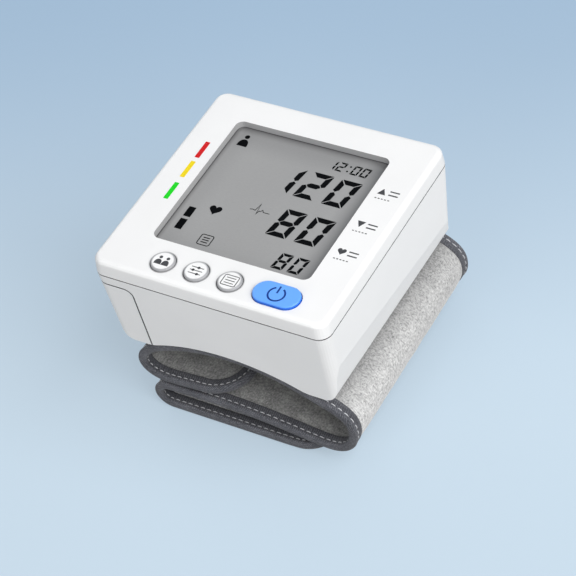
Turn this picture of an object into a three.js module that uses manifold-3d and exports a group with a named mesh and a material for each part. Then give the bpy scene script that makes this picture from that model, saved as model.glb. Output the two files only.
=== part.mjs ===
// Wrist blood pressure monitor: a square white housing on two legs, with a display, four push
// buttons, a battery cover and air works inside, standing on its folded fabric cuff.
// Millimetres. +X is the right of the display, -Y the button side, +Z the way the display faces.
// The origin lies on the table, under the middle of the housing.
import * as THREE from 'three';
import { mergeVertices } from 'three/addons/utils/BufferGeometryUtils.js';
import Module from 'manifold-3d';

const wasm = await Module();
wasm.setup();

// Housing
const housingHalf = 35.75; // half the side of the square at the parting line
const housingCorner = 3.6; // corner radius in plan
const housingHeight = 31.9; // legs' underside to display face
const legZ = 26.7; // table to the legs' underside
const lidHeight = 5; // parting line to display face
const lidEdge = 1.5; // round along the upper edge
const lidTaper = 0.07; // sideways per unit of height
const sideTaper = 0.03;
const frontTaper = 0.0838;
const wall = 2;
const seam = 0.3; // joint lines of the housing
const lipDepth = 1.5; // lid's tongue inside the lower case
const lipThickness = 0.9;
const slip = 0.2; // clearance of pieces that fit in each other
const legRound = 4.4;
const footInset = 2.25; // legs' foot inside the housing's side
const bevelFoot = housingHalf - footInset;
const bevelSlope = 0.167; // lower side facet
const bevelSkew = 0.0134; // makes the facet's crease fall towards the back
const archRadius = 55;
const archRise = 5.5;
const archFillet = 8;

// Display
const bezel = 11.75; // window to the housing's side
const windowHalf = housingHalf - bezel;
const windowCorner = 2.2;
const windowY = 1.8;
const glassMargin = 1.2; // display glass under the window's rim
const glassThickness = 2.55;
const bracketWall = 1.25;
const ledgeWidth = 3;
const contactStripWidth = 2;
const contactStripInset = 4;
const contactStripHalf = windowHalf - contactStripInset;

// Buttons and switches
const buttonInset = 6.25; // buttons' middle to the housing's front
const buttonShare = { user: -0.65375, set: -0.227083, memory: 0.199167, start: 0.785417 }; // of windowHalf
const buttonY = buttonInset - housingHalf;
const capRadius = 3.45;
const startLength = 13.7;
const startWidth = 7.6;
const capProud = 0.6;
const startProud = 0.9;
const capRound = 0.5;
const capFlange = 0.5;
const flangeThickness = 0.8;
const buttonTravel = 0.6;
const stemRadius = 2;
const plungerRadius = 1.6;
const switchHalf = 2.5;
const switchHeight = 1.8;

// Circuit board and what sits on it
const boardInset = 3.75; // board's edge to the housing's side
const boardHalf = housingHalf - boardInset;
const boardCorner = 4;
const boardThickness = 1.2;
const boardDrop = 6; // display face to the board's upper side
const chipHalf = 6;
const chipHeight = 1.3;
const buzzerRadius = 4.5;
const buzzerHeight = 3.2;
const sensorHalf = 3.5;
const sensorHeight = 4;

// Batteries
const cellLength = 44.5;
const cellButtonRadius = 1.9;
const cellButtonLength = 0.8;
const cellInset = 9.55; // cells' middle to the housing's side
const cellX = cellInset - housingHalf;
const bayWall = 1.2;
const contactThickness = 0.4;
const contactBow = 2.1;
const contactHalf = 3.6;
const coverDepth = 11.55; // battery cover's joint line to the housing's side
const coverEdgeX = housingHalf - coverDepth;
const coverDrop = 3.4; // parting line to the cover's upper joint line
const coverCorner = 2.5;

// Screws
const screwRadius = 1;
const screwHeadRadius = 1.8;
const screwHeadHeight = 1.5;
const bossRadius = 2.2;
const screwSeat = 6.5; // depth of the screw's seat under the board
const rightScrewInset = { x: 6.55, y: 5.35 }; // to the housing's sides
const leftScrewInset = 4.55;
const leftScrewStep = 4.3; // to the cells' middle
const rightScrew = { x: housingHalf - rightScrewInset.x, y: housingHalf - rightScrewInset.y };
const leftScrew = { x: cellX + leftScrewStep, y: housingHalf - leftScrewInset };

// Pump, valve and hoses
const pumpInset = 11.75; // pump's middle to the housing's side
const pumpX = housingHalf - pumpInset;
const motorRadius = 6.2;
const motorLength = 20;
const motorFrontY = -22;
const headHalf = 6.8;
const headLength = 13;
const valveX = 6;
const valveHalf = 4.5;
const valveLength = 15;
const valveFrontY = -8;
const tubeRadius = 2;
const tubeBore = 1.25;
const nippleRadius = 1;
const nippleLength = 3;
const manifoldY = 20;
const manifoldHalfX = 5;
const manifoldHalfY = 4;
const manifoldHeight = 7;
const airHeight = 4.2; // hoses' centre line above the manifold's foot
const portRadius = 1.3;
const sensorX = -8;

// Cuff, a strip that is sewn from felt, an air bladder and a lining, and bound along its edges
const cuffHalf = 34.6;
const cuffShift = 1.4; // the strip lies a little behind the housing's middle
const feltThickness = 0.6;
const liningThickness = 0.6;
const bladderThickness = 0.4;
const bladderHalf = 25;
const tapeThickness = 0.3;
const tapeWidth = 3.6;
const plyGap = 0.1;
const layGap = 0.35; // between turns of the strip that lie on each other
const padThickness = 0.35;
const padHalf = 24;
const padBack = -12;
const padFront = 11;
const flapEndX = 0;
const flapTurnX = -21.5;
const flapSlope = 0.07; // the flap's free end stands off the turn below it
const flapLift = 0.6;
const flapCorner = 11;
const tailEndX = 27;
const tailRiseX = 12;
const tailRise = 1.4;
const tailCorner = 10;
const foldX = -23.8;
const foldRadius = 3.7;
const saddleHalf = 21.5;
const turnX = 35.9; // farthest right of the strip's middle
const turnZ = 14.5;
const dipX = 27.5;
const flapReach = 10.1; // handles of the strip's curves
const leftReach = 13.9;
const rightReach = 10.5;
const turnUpReach = 6;
const turnDownReach = 5;
const dipReach = 5;
const longReach = 9;
const crestReach = 31.9;
const crestRise = 1.45;

// Facets
const cornerSteps = 4; // on each half of a quarter turn
const edgeSteps = 3; // across a rounded edge
const roundSteps = 24;
const smallSteps = 10;
const tubeSteps = 5;
const straightSteps = 4; // along the strip
const turnSteps = 12;
const bendSteps = 8;
const far = 80; // reach of cutting bodies

const partingZ = legZ + housingHeight - lidHeight;
const topZ = legZ + housingHeight;
const ceilingZ = topZ - wall;
const boardTop = topZ - boardDrop;
const boardBottom = boardTop - boardThickness;
const archZ = legZ + archRise;
const archCentre = archZ - archRadius;
const lidInner = housingHalf - wall - slip - lipThickness;

// Solids

function weld(geometry) {
  const bare = geometry.clone();
  bare.deleteAttribute('normal');
  bare.deleteAttribute('uv');
  const welded = mergeVertices(bare);
  const index = welded.index.array;
  const triangles = [];
  for (let i = 0; i < index.length; i += 3) {
    const [a, b, c] = [index[i], index[i + 1], index[i + 2]];
    if (a !== b && b !== c && c !== a) triangles.push(a, b, c);
  }
  return { positions: welded.attributes.position.array, triangles };
}

function solid(geometry) {
  const { positions, triangles } = weld(geometry);
  const mesh = new wasm.Mesh({
    numProp: 3,
    vertProperties: new Float32Array(positions),
    triVerts: new Uint32Array(triangles),
  });
  return new wasm.Manifold(mesh);
}

function join(first, ...others) {
  return others.reduce((whole, piece) => whole.add(piece), first);
}

function cut(first, ...others) {
  return others.reduce((whole, piece) => whole.subtract(piece), first);
}

function toGeometry(body) {
  const mesh = body.getMesh();
  const geometry = new THREE.BufferGeometry();
  geometry.setAttribute('position', new THREE.BufferAttribute(mesh.vertProperties, 3));
  geometry.setIndex(new THREE.BufferAttribute(mesh.triVerts, 1));
  geometry.computeVertexNormals();
  return geometry;
}

// A closed mesh from points and triangles, turned so that its faces point out
function closedGeometry(points, triangles) {
  let volume = 0;
  for (const [a, b, c] of triangles) {
    volume += points[a].dot(new THREE.Vector3().crossVectors(points[b], points[c]));
  }
  const outward = volume > 0 ? triangles : triangles.map(([a, b, c]) => [a, c, b]);
  const geometry = new THREE.BufferGeometry().setFromPoints(points);
  geometry.setIndex(outward.flat());
  geometry.computeVertexNormals();
  return geometry;
}

// Rings of equally many points, joined one to the next, with a cap on each end
function skin(rings, capOutline) {
  const count = rings[0].length;
  const points = rings.flat();
  const triangles = [];
  for (let ring = 0; ring + 1 < rings.length; ring += 1) {
    for (let k = 0; k < count; k += 1) {
      const a = ring * count + k;
      const b = ring * count + ((k + 1) % count);
      triangles.push([a, b, b + count], [a, b + count, a + count]);
    }
  }
  const last = (rings.length - 1) * count;
  for (const [a, b, c] of THREE.ShapeUtils.triangulateShape(capOutline, [])) {
    triangles.push([a, c, b], [last + a, last + b, last + c]);
  }
  return closedGeometry(points, triangles);
}

function roundedRectangle(halfX, halfY, radius, centreX = 0, centreY = 0) {
  const shape = new THREE.Shape();
  const corners = [[1, 1], [-1, 1], [-1, -1], [1, -1]];
  corners.forEach(([signX, signY], quarter) => {
    const x = centreX + signX * (halfX - radius);
    const y = centreY + signY * (halfY - radius);
    const start = (quarter * Math.PI) / 2;
    shape.absarc(x, y, radius, start, start + Math.PI / 2, false);
  });
  shape.closePath();
  return shape;
}

function ringAt(halfX, halfY, radius, z) {
  const outline = roundedRectangle(halfX, halfY, radius).extractPoints(cornerSteps).shape;
  return outline.slice(0, -1).map((point) => new THREE.Vector3(point.x, point.y, z));
}

function loft(rings) {
  return skin(rings, rings[0].map((point) => new THREE.Vector2(point.x, point.y)));
}

function prismZ(shape, low, high) {
  const settings = { depth: high - low, bevelEnabled: false, curveSegments: cornerSteps };
  return new THREE.ExtrudeGeometry(shape, settings).translate(0, 0, low);
}

// A prism along Y, from an outline in X and Z
function prismY(shape, low, high) {
  const settings = { depth: high - low, bevelEnabled: false, curveSegments: smallSteps };
  const geometry = new THREE.ExtrudeGeometry(shape, settings);
  return geometry.rotateX(Math.PI / 2).translate(0, high, 0);
}

function block(x0, x1, y0, y1, z0, z1) {
  const geometry = new THREE.BoxGeometry(x1 - x0, y1 - y0, z1 - z0);
  return geometry.translate((x0 + x1) / 2, (y0 + y1) / 2, (z0 + z1) / 2);
}

function rodZ(radius, x, y, low, high, steps = smallSteps) {
  const geometry = new THREE.CylinderGeometry(radius, radius, high - low, steps);
  return geometry.rotateX(Math.PI / 2).translate(x, y, (low + high) / 2);
}

function rodY(radius, x, z, low, high, steps = smallSteps) {
  const geometry = new THREE.CylinderGeometry(radius, radius, high - low, steps);
  return geometry.translate(x, (low + high) / 2, z);
}

function rodX(radius, y, z, low, high, steps = smallSteps) {
  const geometry = new THREE.CylinderGeometry(radius, radius, high - low, steps);
  return geometry.rotateZ(Math.PI / 2).translate((low + high) / 2, y, z);
}

// Scene graph

const monitor = new THREE.Group();

const finishes = {
  white: { color: 0xf1f1ef, roughness: 0.45, metalness: 0 },
  grey: { color: 0x9c9c9c, roughness: 0.5, metalness: 0 },
  display: { color: 0x9d9d9d, roughness: 0.3, metalness: 0 },
  blue: { color: 0x5ea4f7, roughness: 0.4, metalness: 0 },
  board: { color: 0x1f6b3a, roughness: 0.6, metalness: 0 },
  black: { color: 0x1c1c1e, roughness: 0.6, metalness: 0 },
  steel: { color: 0xb9bcc0, roughness: 0.35, metalness: 1 },
  cell: { color: 0x6d7076, roughness: 0.4, metalness: 0.3 },
  silicone: { color: 0xd9d9d4, roughness: 0.6, metalness: 0 },
  felt: { color: 0xc4c4c3, roughness: 0.95, metalness: 0 },
  lining: { color: 0x6f6f6f, roughness: 0.95, metalness: 0 },
  tape: { color: 0x4b4d52, roughness: 0.9, metalness: 0 },
};

function add(name, geometry, finish) {
  const mesh = new THREE.Mesh(geometry, new THREE.MeshStandardMaterial(finishes[finish]));
  mesh.name = name;
  monitor.add(mesh);
}

// Lower case: a tapered box on two legs, with an arch between them and a facet low on each side

// Everything inside one side's facet and above its rounded foot
function sideLimit(inset, skew) {
  const lean = Math.hypot(1, bevelSlope);
  const bottom = legZ + inset;
  const radius = legRound - inset;
  const facetX = (z) => bevelFoot + bevelSlope * (z - legZ) - inset * lean;
  const centreZ = bottom + radius;
  const centreX = facetX(centreZ) - radius * lean;
  const shape = new THREE.Shape();
  shape.moveTo(-far, bottom);
  shape.lineTo(centreX, bottom);
  shape.absarc(centreX, centreZ, radius, -Math.PI / 2, -Math.atan(bevelSlope), false);
  shape.lineTo(facetX(topZ), topZ);
  shape.lineTo(-far, topZ);
  shape.closePath();
  const shear = new THREE.Matrix4().set(1, skew, 0, 0, 0, 1, 0, 0, 0, 0, 1, 0, 0, 0, 0, 1);
  return prismY(shape, -far, far).applyMatrix4(shear);
}

function archHollow(inset) {
  const filletZ = legZ + archFillet;
  const filletX = Math.sqrt((archRadius + archFillet) ** 2 - (filletZ - archCentre) ** 2);
  const meet = Math.atan2(filletZ - archCentre, filletX);
  const fillet = archFillet - inset;
  const shape = new THREE.Shape();
  shape.moveTo(filletX, legZ - archFillet);
  shape.lineTo(filletX, legZ + inset);
  shape.absarc(filletX, filletZ, fillet, -Math.PI / 2, meet - Math.PI, true);
  shape.absarc(0, archCentre, archRadius + inset, meet, Math.PI - meet, false);
  shape.absarc(-filletX, filletZ, fillet, -meet, -Math.PI / 2, true);
  shape.lineTo(-filletX, legZ - archFillet);
  shape.closePath();
  return prismY(shape, -far, far);
}

function caseRing(inset, z) {
  const drop = partingZ - z;
  const halfX = housingHalf - inset - drop * sideTaper;
  const halfY = housingHalf - inset - drop * frontTaper;
  return ringAt(halfX, halfY, housingCorner - inset, z);
}

function caseBody(inset, high) {
  const tapered = solid(loft([caseRing(inset, legZ - wall), caseRing(inset, high)]));
  const right = solid(sideLimit(inset, bevelSkew));
  const left = solid(sideLimit(inset, -bevelSkew).rotateZ(Math.PI));
  return cut(tapered.intersect(right).intersect(left), solid(archHollow(inset)));
}

function coverRegion(grow) {
  const edge = -coverEdgeX + grow;
  const high = partingZ - coverDrop + grow;
  const shape = new THREE.Shape();
  shape.moveTo(-far, legZ - far);
  shape.lineTo(edge, legZ - far);
  shape.absarc(edge - coverCorner, high - coverCorner, coverCorner, 0, Math.PI / 2, false);
  shape.lineTo(-far, high);
  shape.closePath();
  return solid(prismY(shape, -far, far));
}

const screwPlaces = [
  { name: 'screw_right_front', x: rightScrew.x, y: -rightScrew.y },
  { name: 'screw_right_back', x: rightScrew.x, y: rightScrew.y },
  { name: 'screw_left_front', x: leftScrew.x, y: -leftScrew.y },
  { name: 'screw_left_back', x: leftScrew.x, y: leftScrew.y },
];
const bossTop = boardBottom - plyGap;
const seatZ = bossTop - screwSeat;

const bayCeiling = partingZ - coverDrop + seam;
const bayHeight = bayCeiling - legZ - wall - seam;
const cellPitch = (bayHeight + seam - slip) / 2; // two cells, one above the other, fill the bay
const cellRadius = (cellPitch - seam) / 2;
const bayInner = cellX + cellRadius + seam; // battery bay's inner side
const bayEnd = cellLength / 2 + cellButtonLength + contactBow + contactThickness + slip;
const lowCellZ = legZ + wall + seam + cellRadius;
const pumpZ = archZ + wall + seam + airHeight;

const shell = cut(caseBody(0, partingZ - seam / 2), caseBody(wall, partingZ + wall));
const fill = caseBody(wall / 2, bossTop);

function inCase(geometry) {
  return solid(geometry).intersect(fill);
}

function lowerCase() {
  const bayFloor = legZ + wall + legRound / 2;
  const partition = block(bayInner, bayInner + bayWall, -far, far, legZ, bayCeiling + bayWall);
  const bayTop = bayCeiling + bayWall / 2;
  const ceiling = block(-far, bayInner + bayWall, -far, far, bayCeiling, bayTop);
  const bayEnds = [-bayEnd - bayWall, bayEnd].map((y) => (
    block(cellX - cellRadius + seam, bayInner + bayWall, y, y + bayWall, bayFloor, bayTop)
  ));
  const cradles = [motorFrontY + bayWall, motorFrontY + motorLength - 2 * bayWall].map((y) => (
    block(pumpX - motorRadius, pumpX + motorRadius, y, y + bayWall, legZ, pumpZ)
  ));
  const bosses = screwPlaces.map(({ x, y }) => rodZ(bossRadius, x, y, legZ - wall, bossTop));
  const inner = [partition, ceiling, ...bayEnds, ...cradles, ...bosses].map(inCase);
  const holes = screwPlaces.flatMap(({ x, y }) => [
    rodZ(screwHeadRadius + slip, x, y, legZ - wall, seatZ),
    rodZ(screwRadius + slip, x, y, legZ, bossTop + wall),
  ]);
  const motorEnds = [motorFrontY - wall, motorFrontY + motorLength];
  const motorSpace = rodY(motorRadius + seam, pumpX, pumpZ, ...motorEnds, roundSteps);
  const portHole = rodZ(portRadius + slip, valveX, manifoldY, legZ, topZ);
  const cuts = [...holes, motorSpace, portHole].map(solid);
  return cut(join(cut(shell, coverRegion(seam / 2)), ...inner), ...cuts);
}

add('lower_case', toGeometry(lowerCase()), 'white');
add('battery_cover', toGeometry(shell.intersect(coverRegion(-seam / 2))), 'white');

// Lid: the display face, with the window, the button wells, a tongue and the screws' bosses

const buttonPlaces = [
  { name: 'user', halfLength: capRadius, radius: capRadius },
  { name: 'set', halfLength: capRadius, radius: capRadius },
  { name: 'memory', halfLength: capRadius, radius: capRadius },
  { name: 'start', halfLength: startLength / 2, radius: startWidth / 2 },
].map((place) => ({ ...place, x: windowHalf * buttonShare[place.name] }));

function buttonOutline({ x, halfLength, radius }, grow) {
  return roundedRectangle(halfLength + grow, radius + grow, radius + grow, x, buttonY);
}

function lid() {
  const straight = lidHeight - lidEdge;
  const half = housingHalf - straight * lidTaper;
  const rings = [ringAt(housingHalf, housingHalf, housingCorner, partingZ + seam / 2)];
  for (let step = 0; step <= cornerSteps; step += 1) {
    const angle = (step / cornerSteps) * (Math.PI / 2);
    const inset = lidEdge * (1 - Math.cos(angle));
    const z = topZ - lidEdge * (1 - Math.sin(angle));
    rings.push(ringAt(half - inset, half - inset, housingCorner - inset, z));
  }
  const lipHalf = lidInner + lipThickness;
  const lipRing = roundedRectangle(lipHalf, lipHalf, housingCorner - wall - slip);
  const lip = solid(prismZ(lipRing, partingZ - lipDepth, partingZ + wall));
  const hollow = roundedRectangle(lidInner, lidInner, housingCorner - wall - slip - lipThickness);
  const shellBody = cut(join(solid(loft(rings)), lip), solid(prismZ(hollow, legZ, ceilingZ)));
  const bosses = screwPlaces.map(({ x, y }) => (
    solid(rodZ(bossRadius, x, y, boardTop + plyGap, ceilingZ + wall / 2))
  ));
  const pilots = screwPlaces.map(({ x, y }) => (
    solid(rodZ(screwRadius + slip / 2, x, y, boardBottom, ceilingZ))
  ));
  const opening = roundedRectangle(windowHalf, windowHalf, windowCorner, 0, windowY);
  const window = solid(prismZ(opening, ceilingZ - wall, topZ + wall));
  const wells = buttonPlaces.flatMap((place) => [
    solid(prismZ(buttonOutline(place, slip), ceilingZ - wall, topZ + wall)),
    solid(prismZ(buttonOutline(place, capFlange + slip), partingZ + seam, ceilingZ)),
  ]);
  return cut(join(shellBody, ...bosses), ...pilots, window, ...wells);
}

add('lid', toGeometry(lid()), 'white');

// Display glass in its bracket, on two rubber contact strips

const glassHalf = windowHalf + glassMargin;
const glassTop = ceilingZ - slip / 2;
const glassBottom = glassTop - glassThickness;
const bracketFoot = boardTop + plyGap;

const glassOutline = roundedRectangle(glassHalf, glassHalf, windowCorner, 0, windowY);
add('display_glass', prismZ(glassOutline, glassBottom, glassTop), 'display');

function displayBracket() {
  const outer = glassHalf + slip + bracketWall;
  const frame = roundedRectangle(outer, outer, windowCorner + bracketWall, 0, windowY);
  const pocket = roundedRectangle(glassHalf + slip, glassHalf + slip, windowCorner, 0, windowY);
  const innerHalf = glassHalf - ledgeWidth;
  const inner = roundedRectangle(innerHalf, innerHalf, windowCorner, 0, windowY);
  return cut(
    solid(prismZ(frame, bracketFoot, glassTop)),
    solid(prismZ(pocket, glassBottom - slip, ceilingZ + wall)),
    solid(prismZ(inner, bracketFoot - wall, glassTop)),
  );
}

add('display_bracket', toGeometry(displayBracket()), 'grey');

for (const [side, sign] of [['front', -1], ['back', 1]]) {
  const y = windowY + sign * (glassHalf - ledgeWidth - slip - contactStripWidth / 2);
  const half = contactStripWidth / 2;
  const stripTop = glassBottom - plyGap;
  const strip = block(-contactStripHalf, contactStripHalf, y - half, y + half, bracketFoot, stripTop);
  add(`contact_strip_${side}`, strip, 'black');
}

// Circuit board with its chip, buzzer and pressure sensor on the underside

function board() {
  const outline = roundedRectangle(boardHalf, boardHalf, boardCorner);
  const holes = screwPlaces.map(({ x, y }) => (
    solid(rodZ(screwRadius + slip, x, y, boardBottom - wall, boardTop + wall))
  ));
  return cut(solid(prismZ(outline, boardBottom, boardTop)), ...holes);
}

add('circuit_board', toGeometry(board()), 'board');

const chipX = -valveX;
const chipY = valveFrontY;
const undersideZ = boardBottom - plyGap;
const chip = block(chipX - chipHalf, chipX + chipHalf, chipY - chipHalf, chipY + chipHalf,
  undersideZ - chipHeight, undersideZ);
add('controller_chip', chip, 'black');
const buzzerFoot = undersideZ - buzzerHeight;
add('buzzer', rodZ(buzzerRadius, sensorX, motorFrontY, buzzerFoot, undersideZ, roundSteps), 'black');

const airZ = pumpZ;
const sensorBottom = undersideZ - sensorHeight;

function pressureSensor() {
  const [left, right] = [sensorX - sensorHalf, sensorX + sensorHalf];
  const [front, back] = [manifoldY - sensorHalf, manifoldY + sensorHalf];
  const body = block(left, right, front, back, sensorBottom, undersideZ);
  const nipple = rodZ(nippleRadius, sensorX, manifoldY, sensorBottom - nippleLength, undersideZ);
  return join(solid(body), solid(nipple));
}

add('pressure_sensor', toGeometry(pressureSensor()), 'black');

// Push buttons, each on the plunger of its switch

const flangeTop = ceilingZ - seam;
const flangeBottom = flangeTop - flangeThickness;
const switchTop = boardTop + plyGap + switchHeight;
const stemBottom = flangeBottom - (flangeBottom - buttonTravel - switchTop) / 2;
const plungerTop = stemBottom - plyGap;
const plungerBottom = switchTop - switchHeight / 2;

function roundCap(proud) {
  const high = topZ + proud;
  const profile = [new THREE.Vector2(0, flangeBottom), new THREE.Vector2(capRadius, flangeBottom)];
  for (let step = 0; step <= edgeSteps; step += 1) {
    const angle = (step / edgeSteps) * (Math.PI / 2);
    const radius = capRadius - capRound * (1 - Math.cos(angle));
    profile.push(new THREE.Vector2(radius, high - capRound * (1 - Math.sin(angle))));
  }
  profile.push(new THREE.Vector2(0, high));
  return solid(new THREE.LatheGeometry(profile, roundSteps).rotateX(Math.PI / 2));
}

function longCap(place, proud) {
  const settings = {
    depth: topZ + proud - capRound - flangeBottom,
    curveSegments: cornerSteps,
    bevelThickness: capRound,
    bevelSize: capRound,
    bevelOffset: -capRound,
    bevelSegments: edgeSteps,
  };
  const cap = new THREE.ExtrudeGeometry(buttonOutline(place, 0), settings);
  const above = block(-far, far, -far, far, flangeBottom, topZ + far);
  return solid(cap.translate(0, 0, flangeBottom)).intersect(solid(above));
}

for (const place of buttonPlaces) {
  const { name, x } = place;
  const cap = name === 'start'
    ? longCap(place, startProud)
    : roundCap(capProud).translate([x, buttonY, 0]);
  const flange = solid(prismZ(buttonOutline(place, capFlange), flangeBottom, flangeTop));
  const stem = solid(rodZ(stemRadius, x, buttonY, stemBottom, flangeTop));
  add(`${name}_button`, toGeometry(join(cap, flange, stem)), name === 'start' ? 'blue' : 'white');
  const body = block(x - switchHalf, x + switchHalf, buttonY - switchHalf, buttonY + switchHalf,
    boardTop + plyGap, switchTop);
  const bore = rodZ(plungerRadius + slip, x, buttonY, plungerBottom - buttonTravel - plyGap, topZ);
  add(`${name}_switch`, toGeometry(cut(solid(body), solid(bore))), 'black');
  add(`${name}_plunger`, rodZ(plungerRadius, x, buttonY, plungerBottom, plungerTop), 'grey');
}

// Batteries, one above the other, with their button ends opposite ways, between sprung contacts

const cells = [
  { name: 'lower', z: lowCellZ, buttonEnd: 1 },
  { name: 'upper', z: lowCellZ + cellPitch, buttonEnd: -1 },
];

for (const { name, z, buttonEnd } of cells) {
  const can = rodY(cellRadius, cellX, z, -cellLength / 2, cellLength / 2, roundSteps);
  const tip = buttonEnd * (cellLength / 2 + cellButtonLength);
  const nub = rodY(cellButtonRadius, cellX, z, Math.min(tip, 0), Math.max(tip, 0));
  add(`battery_${name}`, toGeometry(join(solid(can), solid(nub))), 'cell');
}

// A contact on the bay's back end wall: a plate with a bowed leaf towards each cell
function batteryContact(low, high, leaves) {
  const front = bayEnd - slip - contactThickness;
  const plate = block(cellX - contactHalf, cellX + contactHalf, front, bayEnd - slip, low, high);
  const bows = leaves.map((z) => {
    const hollow = contactHalf - contactThickness;
    const bow = new THREE.Shape();
    bow.absellipse(z, front, contactHalf, contactBow, Math.PI, 2 * Math.PI, false);
    bow.absellipse(z, front, hollow, contactBow - contactThickness, 2 * Math.PI, Math.PI, true);
    bow.closePath();
    const settings = { depth: contactHalf, bevelEnabled: false, curveSegments: smallSteps };
    const leaf = new THREE.ExtrudeGeometry(bow, settings).rotateY(-Math.PI / 2);
    return solid(leaf.translate(cellX + contactHalf / 2, 0, 0));
  });
  return join(solid(plate), ...bows);
}

const [lowCell, highCell] = cells.map(({ z }) => z);
const plusContact = batteryContact(highCell - contactHalf, highCell + contactHalf, [highCell]);
const minusContact = batteryContact(lowCell - contactHalf, lowCell + contactHalf, [lowCell]);
const bridge = batteryContact(lowCell - contactHalf, highCell + contactHalf, [lowCell, highCell]);
add('contact_plus', toGeometry(plusContact.mirror([0, 1, 0])), 'steel');
add('contact_minus', toGeometry(minusContact.mirror([0, 1, 0])), 'steel');
add('contact_bridge', toGeometry(bridge), 'steel');

// Screws from below, through the lower case and the board into the lid

for (const { name, x, y } of screwPlaces) {
  const foot = seatZ - plyGap - screwHeadHeight;
  const head = rodZ(screwHeadRadius, x, y, foot, seatZ - plyGap);
  const shank = rodZ(screwRadius, x, y, foot, ceilingZ - wall / 2);
  add(name, toGeometry(join(solid(head), solid(shank))), 'steel');
}

// Air works: a motor pump and a release valve feed the cuff and the sensor through a manifold

const motorBackY = motorFrontY + motorLength;
const headFrontY = motorBackY + seam;
const headBackY = headFrontY + headLength;
const valveBackY = valveFrontY + valveLength;
const manifoldFoot = archZ + wall + seam;

add('pump_motor', rodY(motorRadius, pumpX, pumpZ, motorFrontY, motorBackY, roundSteps), 'steel');

function pumpHead() {
  const outline = roundedRectangle(headHalf, headHalf, headHalf / 2, pumpX, pumpZ);
  const nipple = rodY(nippleRadius, pumpX, airZ, headFrontY + wall, headBackY + nippleLength);
  return join(solid(prismY(outline, headFrontY, headBackY)), solid(nipple));
}

add('pump_head', toGeometry(pumpHead()), 'grey');

function releaseValve() {
  const body = block(valveX - valveHalf, valveX + valveHalf, valveFrontY, valveBackY,
    manifoldFoot, manifoldFoot + 2 * valveHalf);
  const nipple = rodY(nippleRadius, valveX, airZ, valveFrontY + wall, valveBackY + nippleLength);
  return join(solid(body), solid(nipple));
}

add('release_valve', toGeometry(releaseValve()), 'steel');

const portTop = manifoldFoot + manifoldHeight / 2;

function airManifold() {
  const left = valveX - manifoldHalfX;
  const right = valveX + manifoldHalfX;
  const front = manifoldY - manifoldHalfY;
  const body = block(left, right, front, manifoldY + manifoldHalfY,
    manifoldFoot, manifoldFoot + manifoldHeight);
  const across = rodX(nippleRadius, manifoldY, airZ, left - nippleLength, right + nippleLength);
  const forward = rodY(nippleRadius, valveX, airZ, front - nippleLength, manifoldY);
  const socket = rodZ(portRadius + slip, valveX, manifoldY, legZ, portTop + plyGap);
  return cut(join(solid(body), solid(across), solid(forward)), solid(socket));
}

add('air_manifold', toGeometry(airManifold()), 'silicone');

// A hose over the nipples at both ends of its path
function hose(path, steps) {
  const section = new THREE.Shape().absarc(0, 0, tubeRadius, 0, 2 * Math.PI, false);
  section.holes.push(new THREE.Path().absarc(0, 0, tubeBore, 0, 2 * Math.PI, true));
  return new THREE.ExtrudeGeometry(section, { steps, curveSegments: tubeSteps, extrudePath: path });
}

function bentRoute(start, corner, end) {
  const path = new THREE.CurvePath();
  const firstBend = start.clone().addScaledVector(corner.clone().sub(start).normalize(), nippleLength);
  const lastBend = end.clone().addScaledVector(corner.clone().sub(end).normalize(), nippleLength);
  path.add(new THREE.LineCurve3(start, firstBend));
  path.add(new THREE.QuadraticBezierCurve3(firstBend, corner, lastBend));
  path.add(new THREE.LineCurve3(lastBend, end));
  return path;
}

const valveHoseEnds = [valveBackY + seam, manifoldY - manifoldHalfY - seam];
const valveHosePoints = valveHoseEnds.map((y) => new THREE.Vector3(valveX, y, airZ));
const valveRoute = new THREE.LineCurve3(...valveHosePoints);
add('valve_hose', hose(valveRoute, 1), 'silicone');

const pumpRoute = bentRoute(
  new THREE.Vector3(valveX + manifoldHalfX + seam, manifoldY, airZ),
  new THREE.Vector3(pumpX, manifoldY, airZ),
  new THREE.Vector3(pumpX, headBackY + seam, airZ),
);
add('pump_hose', hose(pumpRoute, bendSteps), 'silicone');

const sensorRoute = bentRoute(
  new THREE.Vector3(valveX - manifoldHalfX - seam, manifoldY, airZ),
  new THREE.Vector3(sensorX, manifoldY, airZ),
  new THREE.Vector3(sensorX, manifoldY, sensorBottom - seam),
);
add('sensor_hose', hose(sensorRoute, bendSteps), 'silicone');

// Cuff path, in X and Z: the short flap, the turn on the left, the saddle under the arch, the wide
// turn on the right, the long end under the flap, the fold, and the tail that lies on the table

const coreHalf = bladderThickness / 2 + plyGap;
const clothHalf = coreHalf + Math.max(feltThickness, liningThickness);
const boundHalf = clothHalf + plyGap + tapeThickness;
const padDepth = Math.max(boundHalf, clothHalf + plyGap + padThickness);
const tailZ = padDepth;
const foldTopZ = tailZ + 2 * foldRadius;
const turnPitch = 2 * boundHalf + layGap;
const dipZ = tailZ + tailRise + turnPitch;
const flapZ = foldTopZ + flapLift + turnPitch;
const saddleRadius = archRadius - seam - boundHalf;
const saddleAngle = Math.acos(saddleHalf / saddleRadius);

function at(x, z) {
  return new THREE.Vector2(x, z);
}

const saddleZ = archCentre + saddleRadius * Math.sin(saddleAngle);
const saddleFall = at(Math.sin(saddleAngle), -Math.cos(saddleAngle)); // way down off the saddle's right end

const saddlePiece = {
  curve: new THREE.EllipseCurve(
    0, archCentre, saddleRadius, saddleRadius, Math.PI - saddleAngle, saddleAngle, true,
  ),
  steps: bendSteps,
};

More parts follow.
